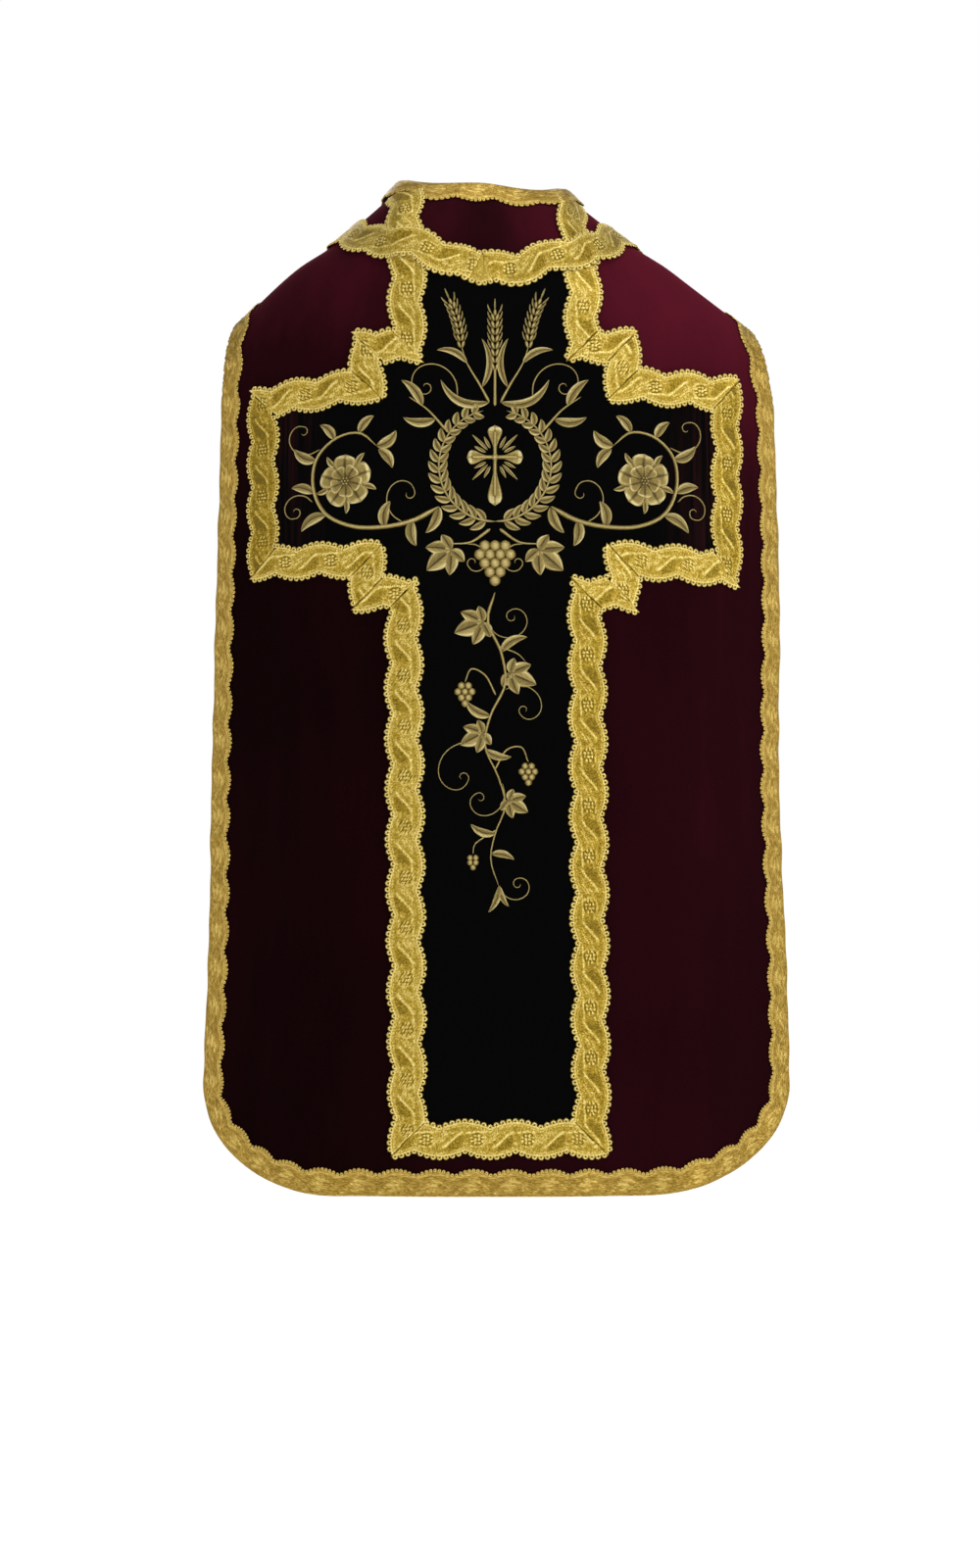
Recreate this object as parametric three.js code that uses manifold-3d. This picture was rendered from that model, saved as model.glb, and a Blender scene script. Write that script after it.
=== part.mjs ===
// A Roman chasuble of velvet, hanging as it is worn: a wide back with a stepped cross in
// dark velvet framed with galloon, a narrower fiddle-shaped front, and galloon folded over
// every edge. Millimetres, +Z up. The back faces -Y and the wearer faces +Y. The origin is
// the middle of the shoulders at the base of the neck, where the wearer carries the cloth.
import * as THREE from "three";
import { mergeVertices } from "three/addons/utils/BufferGeometryUtils.js";
import Module from "manifold-3d";

const wasm = await Module();
wasm.setup();

// ---- Driving sizes ------------------------------------------------------------------
const WALL = 2; // velvet, interlining and lining together
const SEAM_GAP = 0.3; // between pieces sewn edge to edge
const LIFT = 0.9; // between a panel and what is sewn on it
const CROSS_THICKNESS = 0.8; // the dark velvet of the cross
const GALLOON = { width: 38.5, thickness: 1, wave: 54, scallop: 3 };
const BINDING = { width: 22.5, thickness: 0.8, wave: 41, scallop: 3, foldGap: 1.1, lift: 0.8 };
const NECK_CENTRE_X = -12; // the neck sits a little to the wearer's left
const SEAM_T = -0.28; // the shoulder seam lies on the front of the shoulder
const METRE = 1000;

// Height of the shoulder line above the origin, from the wearer's left to the right.
// Between the two neck corners it only shapes the cloth round the neck hole.
const SHOULDER_LINE = [
  { x: -360, z: -205 },
  { x: -279, z: -133 },
  { x: -236, z: -92 },
  { x: -212, z: -72 },
  { x: -178, z: -50 },
  { x: -125, z: -6 },
  { x: -97, z: 21 },
  { x: -12, z: 41 },
  { x: 73, z: 12 },
  { x: 95, z: -7 },
  { x: 152, z: -50 },
  { x: 187, z: -72 },
  { x: 215, z: -93 },
  { x: 278, z: -141 },
  { x: 360, z: -205 },
];

// Side edges of the back. t runs from the shoulder seam (below 0) over the shoulder line
// (0) to the end of the shoulder curve (1); past 1 it counts metres down the straight cloth.
const BACK_EDGE = [
  { t: -0.28, left: -263, right: 263 },
  { t: 0, left: -279, right: 278 },
  { t: 0.5, left: -290.5, right: 294 },
  { t: 1, left: -295.5, right: 304 },
  { t: 1.2, left: -301, right: 310.5 },
  { t: 1.42, left: -306, right: 309.5 },
  { t: 1.6, left: -308.5, right: 316.5 },
  { t: 1.75, left: -314, right: 320 },
  { t: 2, left: -315, right: 321 },
];

// Side edges of the front, cut in at the chest to free the arms. half is half its width.
const FRONT_EDGE = [
  { t: -2, half: 292 },
  { t: -1.72, half: 288 },
  { t: -1.5, half: 270 },
  { t: -1.3, half: 232 },
  { t: -1.12, half: 205 },
  { t: -0.95, half: 203 },
  { t: -0.72, half: 218 },
  { t: -0.5, half: 238 },
  { t: -0.28, half: 263 },
];

const BACK_HEM = { z: -1079, leftCorner: 150, rightCorner: 174, cornerHigh: 118, roundness: 2.15 };
const FRONT_HEM = { z: -960, leftCorner: 110, rightCorner: 110, cornerHigh: 95, roundness: 2.15 };

// Shallow folds in the hanging cloth. rise is how far a fold stands out at the hem.
const BACK_FOLDS = [
  { x: -262, half: 40, rise: -5 },
  { x: -200, half: 50, rise: 8 },
  { x: -140, half: 40, rise: -4 },
  { x: 148, half: 44, rise: -5 },
  { x: 216, half: 52, rise: 11 },
  { x: 284, half: 40, rise: -8 },
];
const FRONT_FOLDS = [
  { x: -200, half: 55, rise: 7 },
  { x: -110, half: 60, rise: -6 },
  { x: 100, half: 60, rise: -6 },
  { x: 195, half: 55, rise: 7 },
];

// Neck hole seen from above: a rounded rectangle about a centre in front of the nape.
const NECK = { x: NECK_CENTRE_X, y: 12, half: 85.5, back: 80, front: 83, squareness: 2.8 };

// The cross, in flat cloth: distances from its own centre line, heights above the origin.
const CROSS = {
  x: 1,
  footDrift: 5, // the foot hangs this much towards the wearer's right
  pillarTop: 94,
  pillar: 98,
  step: 137,
  arm: 260.5,
  top: -88,
  stepTop: -171,
  armTop: -212,
  armFoot: -400,
  stepFoot: -437,
  foot: -1020,
  // how much lower the ends of the arms hang than their roots
  droopLeft: { top: 16, foot: 2 },
  droopRight: { top: 6, foot: 8 },
};

// Centre line of the band round the shoulders, on the wearer's left; the right mirrors it.
const BAND_ROUTE = [
  { fromCentre: -6, t: 0.752 },
  { fromCentre: 30, t: 0.74 },
  { fromCentre: 60, t: 0.685 },
  { fromCentre: 100, t: 0.585 },
  { fromCentre: 130, t: 0.4 },
  { fromCentre: 149, t: 0.12 },
  { fromCentre: 160, t: -0.18 },
  { fromCentre: 157, t: -0.42 },
  { fromCentre: 132, t: -0.66 },
  { fromCentre: 84, t: -0.84 },
  { fromCentre: 40, t: -0.91 },
  { fromCentre: -6, t: -0.93 },
];
const NECK_STRIPS = [
  { side: "left", x: -95, lean: 0 },
  { side: "right", x: 80, lean: 7 },
];

// ---- Small tools --------------------------------------------------------------------
// A smooth curve through the rows of a table, straight beyond its ends.
function curveThrough(rows, inKey, outKey) {
  const at = rows.map((row) => row[inKey]);
  const value = rows.map((row) => row[outKey]);
  const last = rows.length - 1;
  const slopeAt = (i) => {
    const a = Math.max(0, i - 1);
    const b = Math.min(last, i + 1);
    return (value[b] - value[a]) / (at[b] - at[a]);
  };
  return (v) => {
    if (v <= at[0]) return value[0] + slopeAt(0) * (v - at[0]);
    if (v >= at[last]) return value[last] + slopeAt(last) * (v - at[last]);
    let i = 0;
    while (v > at[i + 1]) i += 1;
    const span = at[i + 1] - at[i];
    const f = (v - at[i]) / span;
    const f2 = f * f;
    const f3 = f2 * f;
    return (
      (2 * f3 - 3 * f2 + 1) * value[i] +
      (f3 - 2 * f2 + f) * span * slopeAt(i) +
      (3 * f2 - 2 * f3) * value[i + 1] +
      (f3 - f2) * span * slopeAt(i + 1)
    );
  };
}

const shoulderZ = curveThrough(SHOULDER_LINE, "x", "z");
const backLeft = curveThrough(BACK_EDGE, "t", "left");
const backRight = curveThrough(BACK_EDGE, "t", "right");
const frontHalf = curveThrough(FRONT_EDGE, "t", "half");
const softAbs = (x) => Math.hypot(x, 40) - 40;
const foldsAt = (folds, x) =>
  folds.reduce((sum, fold) => sum + fold.rise * Math.exp(-(((x - fold.x) / fold.half) ** 2)), 0);

// How the cloth hangs on each side of the shoulder line: depth behind or before it, the
// drop of the shoulder curve, and how much further out it swings lower down.
const HANG_LENGTH = 870;
const HALF_WIDTH = 290;
const BACK = {
  sign: -1,
  depth: (x) => 128 - 86 * Math.abs(x / HALF_WIDTH) ** 2.8,
  drop: (x) => 207 - 0.535 * softAbs(x),
  swing: (x, below) =>
    (below / HANG_LENGTH) ** 1.6 *
    (20 + 30 * Math.abs(x / HALF_WIDTH) ** 2.4 + foldsAt(BACK_FOLDS, x)),
};
const FRONT = {
  sign: 1,
  depth: (x) => 112 - 52 * Math.abs(x / HALF_WIDTH) ** 2.2,
  drop: (x) => 250 - 0.62 * softAbs(x),
  swing: (x, below) =>
    (below / HANG_LENGTH) ** 1.6 *
    (12 + 24 * Math.abs(x / HALF_WIDTH) ** 2.2 + foldsAt(FRONT_FOLDS, x)),
};
const QUARTER = Math.PI / 2;

// A point of the cloth: x across, t over the shoulder (see BACK_EDGE for t).
function cloth(x, t) {
  const side = t >= 0 ? BACK : FRONT;
  const turn = Math.min(Math.abs(t), 1) * QUARTER;
  const below = Math.max(0, Math.abs(t) - 1) * METRE;
  const out = side.depth(x) * Math.sin(turn) + side.swing(x, below);
  const z = shoulderZ(x) - side.drop(x) * (1 - Math.cos(turn)) - below;
  return new THREE.Vector3(x, side.sign * out, z);
}

// The t of the cloth nearest to a point that is already close to it.
function tNear(point) {
  const side = point.y < 0 ? BACK : FRONT;
  const drop = side.drop(point.x);
  const start = shoulderZ(point.x) - drop;
  if (point.z <= start) return -side.sign * (1 + (start - point.z) / METRE);
  const turn = Math.atan2(Math.abs(point.y) / side.depth(point.x), (point.z - start) / drop);
  return (-side.sign * turn) / QUARTER;
}

// The t of the cloth at a height, on the back.
function backTAt(x, z) {
  const drop = BACK.drop(x);
  const start = shoulderZ(x) - drop;
  if (z <= start) return 1 + (start - z) / METRE;
  return Math.acos(1 - (shoulderZ(x) - z) / drop) / QUARTER;
}

// The outward direction of the cloth.
function outward(x, t) {
  const step = 0.004;
  const low = cloth(x, t - step);
  const high = cloth(x, t + step);
  const left = cloth(x - 1, t);
  const right = cloth(x + 1, t);
  return high.sub(low).cross(right.sub(left)).normalize();
}

// A point moved off the cloth, outwards if lift is above 0.
const lifted = (x, t, lift) => cloth(x, t).addScaledVector(outward(x, t), lift);

// A closed body from its corners and triangles, turned the right way out.
function bodyOf(points, triangles) {
  let volume = 0;
  for (const [a, b, c] of triangles) {
    volume += points[a].dot(points[b].clone().cross(points[c]));
  }
  const faces = volume > 0 ? triangles : triangles.map(([a, b, c]) => [a, c, b]);
  const geometry = new THREE.BufferGeometry();
  const flat = points.flatMap((p) => [p.x, p.y, p.z]);
  geometry.setAttribute("position", new THREE.Float32BufferAttribute(flat, 3));
  geometry.setIndex(faces.flat());
  return mergeVertices(geometry, 1e-4);
}

const quad = (a, b, c, d) => [
  [a, b, c],
  [a, c, d],
];

// A wall between two grids of points of the same size, row by row.
function wallOf(outer, inner) {
  const rows = outer.length;
  const cols = outer[0].length;
  const points = [...outer.flat(), ...inner.flat()];
  const o = (r, c) => r * cols + c;
  const i = (r, c) => rows * cols + r * cols + c;
  const triangles = [];
  for (let r = 0; r < rows - 1; r += 1) {
    for (let c = 0; c < cols - 1; c += 1) {
      triangles.push(...quad(o(r, c), o(r, c + 1), o(r + 1, c + 1), o(r + 1, c)));
      triangles.push(...quad(i(r, c), i(r + 1, c), i(r + 1, c + 1), i(r, c + 1)));
    }
    triangles.push(...quad(o(r, 0), o(r + 1, 0), i(r + 1, 0), i(r, 0)));
    const e = cols - 1;
    triangles.push(...quad(o(r, e), i(r, e), i(r + 1, e), o(r + 1, e)));
  }
  for (let c = 0; c < cols - 1; c += 1) {
    const e = rows - 1;
    triangles.push(...quad(o(0, c), i(0, c), i(0, c + 1), o(0, c + 1)));
    triangles.push(...quad(o(e, c), o(e, c + 1), i(e, c + 1), i(e, c)));
  }
  return bodyOf(points, triangles);
}

// A tube through sections of the same number of corners, closed on itself or capped.
function sweepOf(sections, closed) {
  const corners = sections[0].length;
  const points = sections.flat();
  const triangles = [];
  const stretches = closed ? sections.length : sections.length - 1;
  for (let s = 0; s < stretches; s += 1) {
    const here = s * corners;
    const next = ((s + 1) % sections.length) * corners;
    for (let c = 0; c < corners; c += 1) {
      const d = (c + 1) % corners;
      triangles.push(...quad(here + c, here + d, next + d, next + c));
    }
  }
  if (!closed) {
    const half = corners / 2;
    for (const [base, flip] of [
      [0, false],
      [(sections.length - 1) * corners, true],
    ]) {
      for (let c = 0; c < half - 1; c += 1) {
        const [a, b] = [base + c, base + c + 1];
        const [d, e] = [base + corners - 1 - c, base + corners - 2 - c];
        triangles.push(...(flip ? quad(a, b, e, d) : quad(a, d, e, b)));
      }
    }
  }
  return bodyOf(points, triangles);
}

const solidOf = (geometry) =>
  new wasm.Manifold(
    new wasm.Mesh({
      numProp: 3,
      vertProperties: new Float32Array(geometry.attributes.position.array),
      triVerts: new Uint32Array(geometry.index.array),
    }),
  );

function geometryOf(solid) {
  const mesh = solid.getMesh();
  const geometry = new THREE.BufferGeometry();
  geometry.setAttribute("position", new THREE.BufferAttribute(mesh.vertProperties, 3));
  geometry.setIndex(new THREE.BufferAttribute(mesh.triVerts, 1));
  return geometry;
}

// ---- Panels -------------------------------------------------------------------------
// Height of a hem with rounded corners, between its left and right ends.
function hemZ(hem, x, left, right) {
  const corner = x - left < right - x ? hem.leftCorner : hem.rightCorner;
  const inFromEdge = Math.max(0, Math.min(x - left, right - x));
  if (inFromEdge >= corner) return hem.z;
  const across = (corner - inFromEdge) / corner;
  const down = (1 - across ** hem.roundness) ** (1 / hem.roundness);
  return hem.z + hem.cornerHigh * (1 - down);
}

const COLUMNS = 32;
const EDGE_COLUMNS = 6;
const between = (a, b, f) => a + (b - a) * f;

// Columns from -1 to 1 that crowd towards the side edges, where the hem turns up.
function spread(i) {
  const half = COLUMNS / 2;
  const reach = (n) =>
    n <= EDGE_COLUMNS ? n ** 2 : EDGE_COLUMNS ** 2 + 2 * EDGE_COLUMNS * (n - EDGE_COLUMNS);
  const share = 1 - reach(Math.min(i, COLUMNS - i)) / reach(half);
  return i < half ? -share : share;
}

// The x and t of a place on the back: u across from -1 to 1, rows down by t or hem share.
function backPlace(u, row) {
  if (row <= 1) return { x: between(backLeft(row), backRight(row), (u + 1) / 2), t: row };
  const { left, right } = BACK_EDGE.at(-1);
  const hemX = between(left, right, (u + 1) / 2);
  const hemT = backTAt(hemX, hemZ(BACK_HEM, hemX, left, right));
  const t = between(1, hemT, row - 1);
  return { x: between(backLeft(t), backRight(t), (u + 1) / 2), t };
}

function frontPlace(u, row) {
  if (row <= 1) return { x: u * frontHalf(-row), t: -row };
  const { half } = FRONT_EDGE[0];
  const hemX = u * half;
  const start = shoulderZ(hemX) - FRONT.drop(hemX);
  const hemT = 1 + (start - hemZ(FRONT_HEM, hemX, -half, half)) / METRE;
  const t = between(1, hemT, row - 1);
  return { x: u * frontHalf(-t), t: -t };
}

const range = (from, to, steps) =>
  Array.from({ length: steps + 1 }, (_, i) => between(from, to, i / steps));
const BACK_ROWS = [...range(SEAM_T, 0, 4), ...range(0, 1, 12).slice(1), ...range(1, 2, 7).slice(1)];
const FRONT_TOP = -SEAM_T + 0.004; // leaves the seam's gap below the back panel's edge
const FRONT_ROWS = [...range(FRONT_TOP, 1, 9), ...range(1, 2, 6).slice(1)];

// A panel of cloth, grown all round by a margin where it is used as a cutter.
function panel(place, rows, margin = 0) {
  const grown = margin / HALF_WIDTH;
  const ends = [rows[0] - grown, ...rows.slice(1, -1), rows.at(-1) + grown];
  const grid = (lift) =>
    ends.map((row) =>
      range(0, COLUMNS, COLUMNS).map((i) => {
        const { x, t } = place(spread(i) * (1 + grown), row);
        return lifted(x, t, lift);
      }),
    );
  return solidOf(wallOf(grid(WALL / 2 + margin), grid(-WALL / 2 - margin)));
}

// ---- Neck hole ----------------------------------------------------------------------
const NECK_STATIONS = 48;

// The neck edge as places on the cloth, evenly turned about the neck's centre.
function neckPlaces(margin = 0) {
  return range(0, NECK_STATIONS, NECK_STATIONS)
    .slice(0, -1)
    .map((i) => {
      const angle = (i / NECK_STATIONS) * 2 * Math.PI;
      const power = 2 / NECK.squareness;
      const across = Math.sign(Math.cos(angle)) * Math.abs(Math.cos(angle)) ** power;
      const along = Math.sign(Math.sin(angle)) * Math.abs(Math.sin(angle)) ** power;
      const x = NECK.x + (NECK.half - margin) * across;
      const y = NECK.y + ((along > 0 ? NECK.front : NECK.back) - margin) * along;
      const side = y < 0 ? BACK : FRONT;
      return { x, t: (-side.sign * Math.asin(Math.abs(y) / side.depth(x))) / QUARTER };
    });
}

// A plug that fills the neck hole, its walls square to the cloth.
function neckPlug(margin = 0) {
  const places = neckPlaces(margin);
  const reach = { in: -6, out: 12 };
  const rings = [
    ...places.map(({ x, t }) => lifted(x, t, reach.in)),
    ...places.map(({ x, t }) => lifted(x, t, reach.out)),
  ];
  const n = places.length;
  const points = [
    ...rings,
    new THREE.Vector3(NECK.x, NECK.y, -70),
    new THREE.Vector3(NECK.x, NECK.y, 260),
  ];
  const triangles = [];
  for (let i = 0; i < n; i += 1) {
    const j = (i + 1) % n;
    triangles.push(...quad(i, j, n + j, n + i));
    triangles.push([2 * n, j, i]);
    triangles.push([2 * n + 1, n + i, n + j]);
  }
  return solidOf(bodyOf(points, triangles));
}

// The region of the shoulder between two values of t, as a thick slab of cloth.
function shoulderSlab(from, to) {
  const grid = (lift) =>
    range(from, to, 4).map((t) => range(-300, 300, 24).map((x) => lifted(x, t, lift)));
  return solidOf(wallOf(grid(8), grid(-8)));
}

// The largest body of a trimmed piece, without its offcuts.
const mainBody = (solid) =>
  solid.decompose().reduce((best, body) => (body.volume() > best.volume() ? body : best));

// ---- Tapes: galloon, band and binding -------------------------------------------------
// Half-widths of a galloon at a place along it: both edges are scalloped, half a wave apart.
function galloonEdges(waves, calm) {
  const { width, scallop } = GALLOON;
  const phase = Math.PI * waves;
  const swell = (wave) => calm * scallop * (2 * Math.abs(wave) - 1);
  return { low: width / 2 + swell(Math.cos(phase)), high: width / 2 + swell(Math.sin(phase)) };
}

// A point across a tape: from the centre line's place, sideways over the cloth, then out.
function besideLine(here, along, sideways, lift) {
  const up = outward(here.x, here.t);
  const side = up.clone().cross(along).normalize();
  const guess = cloth(here.x, here.t).addScaledVector(side, sideways);
  return lifted(guess.x, tNear(guess), lift);
}

// Places along a smooth line through rows of {x, t}, with their running length.
function measured(rows, closed) {
  const line = new THREE.CatmullRomCurve3(
    rows.map(({ x, t }) => new THREE.Vector3(x, t * 100, 0)),
    closed,
    "centripetal",
  );
  const places = line.getPoints(600).map((p) => ({ x: p.x, t: p.y / 100 }));
  return withLengths(places);
}

function withLengths(places) {
  let length = 0;
  return places.map((place, i) => {
    const point = cloth(place.x, place.t);
    if (i > 0) length += point.distanceTo(cloth(places[i - 1].x, places[i - 1].t));
    return { ...place, length };
  });
}

function placeAt(places, length) {
  let i = 1;
  while (i < places.length - 1 && places[i].length < length) i += 1;
  const [a, b] = [places[i - 1], places[i]];
  const f = (length - a.length) / Math.max(b.length - a.length, 1e-6);
  return { x: between(a.x, b.x, f), t: between(a.t, b.t, f) };
}

function directionAt(places, length) {
  const total = places.at(-1).length;
  const a = placeAt(places, Math.max(0, length - 2));
  const b = placeAt(places, Math.min(total, length + 2));
  return cloth(b.x, b.t).sub(cloth(a.x, a.t)).normalize();
}

const CROSS_LIFT = WALL / 2 + LIFT;
const GALLOON_LIFT = CROSS_LIFT + CROSS_THICKNESS + 0.6;

// A galloon along a curved line, grown by a margin where it is used as a cutter.
function curvedGalloon(places, margin = 0) {
  const total = places.at(-1).length;
  const waves = Math.round(total / GALLOON.wave);
  const steps = waves * 4;
  const grid = (lift) =>
    range(0, steps, steps).map((i) => {
      const length = between(SEAM_GAP / 2, total - SEAM_GAP / 2, i / steps);
      const here = placeAt(places, length);
      const along = directionAt(places, length);
      const edge = galloonEdges((i / steps) * waves, 1);
      return [-edge.low - margin, 0, edge.high + margin].map((sideways) =>
        besideLine(here, along, sideways, lift),
      );
    });
  const low = GALLOON_LIFT - (margin ? 4 : 0);
  const high = GALLOON_LIFT + GALLOON.thickness + (margin ? 4 : 0);
  return wallOf(grid(high), grid(low));
}

// ---- The cross ------------------------------------------------------------------------
// Cloth curves away towards the sides, so a flat distance reaches less far across.
function xAcross(flat) {
  let x = flat;
  for (let i = 0; i < 8; i += 1) x = flat - 21 * Math.sign(x) * Math.abs(x / HALF_WIDTH) ** 4.6;
  return x;
}

// A place on the back from the cross's own flat distances.
function crossPlace(flat, height) {
  const footShare = (CROSS.stepFoot - height) / (CROSS.stepFoot - CROSS.foot);
  const x = CROSS.x + CROSS.footDrift * Math.max(0, footShare) + xAcross(flat);
  const outShare = Math.max(0, (Math.abs(flat) - CROSS.step) / (CROSS.arm - CROSS.step));
  const heightShare = (height - CROSS.armFoot) / (CROSS.armTop - CROSS.armFoot);
  const droop = flat < 0 ? CROSS.droopLeft : CROSS.droopRight;
  const z = height - outShare * between(droop.foot, droop.top, heightShare);
  return { x, t: backTAt(x, z) };
}

// Corners of the galloon's centre line down the wearer's left side, named by the run
// that starts there.
const CROSS_CORNERS = [
  { run: "pillar_top", flat: CROSS.pillarTop, height: CROSS.top },
  { run: "step_upper", flat: CROSS.pillarTop, height: CROSS.stepTop },
  { run: "step_upper_side", flat: CROSS.step, height: CROSS.stepTop },
  { run: "arm_upper", flat: CROSS.step, height: CROSS.armTop },
  { run: "arm_end", flat: CROSS.arm, height: CROSS.armTop },
  { run: "arm_lower", flat: CROSS.arm, height: CROSS.armFoot },
  { run: "step_lower_side", flat: CROSS.step, height: CROSS.armFoot },
  { run: "step_lower", flat: CROSS.step, height: CROSS.stepFoot },
  { run: "pillar_side", flat: CROSS.pillar, height: CROSS.stepFoot },
  { run: "foot", flat: CROSS.pillar, height: CROSS.foot },
];

// One straight run of galloon between two mitred corners.
function galloonRun(start, end, startMitre, endMitre) {
  const length = Math.hypot(end.flat - start.flat, end.height - start.height);
  const along = { flat: (end.flat - start.flat) / length, height: (end.height - start.height) / length };
  const waves = Math.max(1, Math.round(length / GALLOON.wave));
  const steps = waves * 4;
  const grid = (lift) =>
    range(0, steps, steps).map((i) => {
      const share = between(SEAM_GAP / length, 1 - SEAM_GAP / length, i / steps);
      const calm = Math.min(1, Math.min(i, steps - i));
      const edge = galloonEdges((i / steps) * waves, calm);
      return [-edge.low, 0, edge.high].map((sideways) => {
        const c = (Math.sign(sideways) * GALLOON.width) / 2;
        const swell = sideways - c;
        const flat =
          between(start.flat + c * startMitre.flat, end.flat + c * endMitre.flat, share) -
          swell * along.height;
        const height =
          between(start.height + c * startMitre.height, end.height + c * endMitre.height, share) +
          swell * along.flat;
        const { x, t } = crossPlace(flat, height);
        return lifted(x, t, lift);
      });
    });
  return wallOf(grid(GALLOON_LIFT + GALLOON.thickness), grid(GALLOON_LIFT));
}

// The sideways direction of a run, and of the mitre where two runs meet.
function sidewaysOf(a, b) {
  const length = Math.hypot(b.flat - a.flat, b.height - a.height);
  return { flat: -(b.height - a.height) / length, height: (b.flat - a.flat) / length };
}
function mitreOf(before, after) {
  const scale = 1 + before.flat * after.flat + before.height * after.height;
  return {
    flat: (before.flat + after.flat) / scale,
    height: (before.height + after.height) / scale,
  };
}

// All runs of the cross's galloon: down the left, along the foot and up the right.
function crossRuns() {
  const left = CROSS_CORNERS.map((c) => ({ ...c, flat: -c.flat }));
  const right = CROSS_CORNERS.toReversed().map((c) => ({ ...c }));
  const corners = [...left, ...right];
  return corners.slice(0, -1).map((corner, i) => {
    const next = corners[i + 1];
    const own = sidewaysOf(corner, next);
    const before = i > 0 ? sidewaysOf(corners[i - 1], corner) : own;
    const after = i < corners.length - 2 ? sidewaysOf(next, corners[i + 2]) : own;
    const onLeft = i < left.length - 1;
    const onRight = i >= left.length;
    const name = onLeft ? corner.run + "_left" : onRight ? next.run + "_right" : "foot";
    return {
      name: "galloon_" + name,
      geometry: galloonRun(corner, next, mitreOf(before, own), mitreOf(own, after)),
    };
  });
}

// The dark velvet of the cross: square cells of cloth that lie inside the galloon's line.
function crossPanel() {
  const arm = [-CROSS.arm, -232, -203, -174, -CROSS.step];
  const middle = [-96, -80, -64, -32, 0, 32, 64, 80, 96];
  const flats = [...arm, ...middle, ...arm.map((f) => -f).toReversed()];
  const heights = [
    ...range(CROSS.top, CROSS.stepTop, 4),
    ...range(CROSS.stepTop, CROSS.armTop, 2).slice(1),
    ...range(CROSS.armTop, CROSS.armFoot, 8).slice(1),
    CROSS.stepFoot,
    ...range(CROSS.stepFoot, CROSS.foot, 11).slice(1),
  ];
  const halfAt = (height) => {
    if (height > CROSS.stepTop) return 96;
    if (height > CROSS.armTop) return CROSS.step;
    if (height > CROSS.armFoot) return CROSS.arm;
    return height > CROSS.stepFoot ? CROSS.step : 96;
  };
  const inside = (r, c) => {
    if (r < 0 || c < 0 || r >= heights.length - 1 || c >= flats.length - 1) return false;
    const mid = (flats[c] + flats[c + 1]) / 2;
    return Math.abs(mid) < halfAt((heights[r] + heights[r + 1]) / 2);
  };
  const points = [];
  for (const lift of [CROSS_LIFT + CROSS_THICKNESS, CROSS_LIFT]) {
    for (const height of heights) {
      for (const flat of flats) {
        const { x, t } = crossPlace(flat, height);
        points.push(lifted(x, t, lift));
      }
    }
  }
  const top = (r, c) => r * flats.length + c;
  const bottom = (r, c) => heights.length * flats.length + top(r, c);
  const triangles = [];
  const side = (r0, c0, r1, c1) =>
    triangles.push(...quad(top(r0, c0), top(r1, c1), bottom(r1, c1), bottom(r0, c0)));
  for (let r = 0; r < heights.length - 1; r += 1) {
    for (let c = 0; c < flats.length - 1; c += 1) {
      if (!inside(r, c)) continue;
      triangles.push(...quad(top(r, c), top(r + 1, c), top(r + 1, c + 1), top(r, c + 1)));
      triangles.push(...quad(bottom(r, c), bottom(r, c + 1), bottom(r + 1, c + 1), bottom(r + 1, c)));
      if (!inside(r - 1, c)) side(r, c, r, c + 1);
      if (!inside(r + 1, c)) side(r + 1, c + 1, r + 1, c);
      if (!inside(r, c - 1)) side(r + 1, c, r, c);
      if (!inside(r, c + 1)) side(r, c + 1, r + 1, c + 1);
    }
  }
  const used = [...new Set(triangles.flat())];
  const renumbered = new Map(used.map((old, i) => [old, i]));
  return bodyOf(
    used.map((old) => points[old]),
    triangles.map((corners) => corners.map((old) => renumbered.get(old))),
  );
}

// ---- Bands and strips round the neck --------------------------------------------------
// Half of the band, on one side of the neck: sign is -1 for the wearer's left.
function bandPlaces(sign) {
  const rows = BAND_ROUTE.map(({ fromCentre, t }) => ({
    x: NECK_CENTRE_X + sign * fromCentre,
    t,
  }));
  return measured(rows, false);
}

// One side's band, trimmed along the middle of the back and of the front.
function band(sign, margin) {
  const trimmed = solidOf(curvedGalloon(bandPlaces(sign), margin)).trimByPlane(
    [sign, 0, 0],
    sign * NECK_CENTRE_X + SEAM_GAP / 2,
  );
  return mainBody(trimmed);
}

// A short strip of galloon from the neck edge down to the band.
function neckStripPlaces({ x, lean }) {
  const top = backTAt(x, -6);
  const foot = backTAt(x + lean, -46);
  return withLengths(range(0, 1, 40).map((f) => ({ x: x + lean * f, t: between(top, foot, f) })));
}

// ---- Edge binding -----------------------------------------------------------------------
// Boundary of the back from the wearer's left shoulder seam round the hem to the right one.
function backBoundary() {
  const rows = [...range(SEAM_T, 0, 40), ...range(0, 1, 60).slice(1), ...range(1, 2, 120).slice(1)];
  const left = rows.map((row) => backPlace(-1, row));
  const hem = range(-1, 1, 400).map((s) => backPlace(Math.sin(s * QUARTER), 2));
  const right = rows.toReversed().map((row) => backPlace(1, row));
  return withLengths([...left, ...hem.slice(1, -1), ...right]);
}

function frontBoundary() {
  const rows = [...range(-SEAM_T, 1, 100), ...range(1, 2, 120).slice(1)];
  const right = rows.map((row) => frontPlace(1, row));
  const hem = range(1, -1, 400).map((s) => frontPlace(Math.sin(s * QUARTER), 2));
  const left = rows.toReversed().map((row) => frontPlace(-1, row));
  return withLengths([...right, ...hem.slice(1, -1), ...left]);
}

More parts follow.
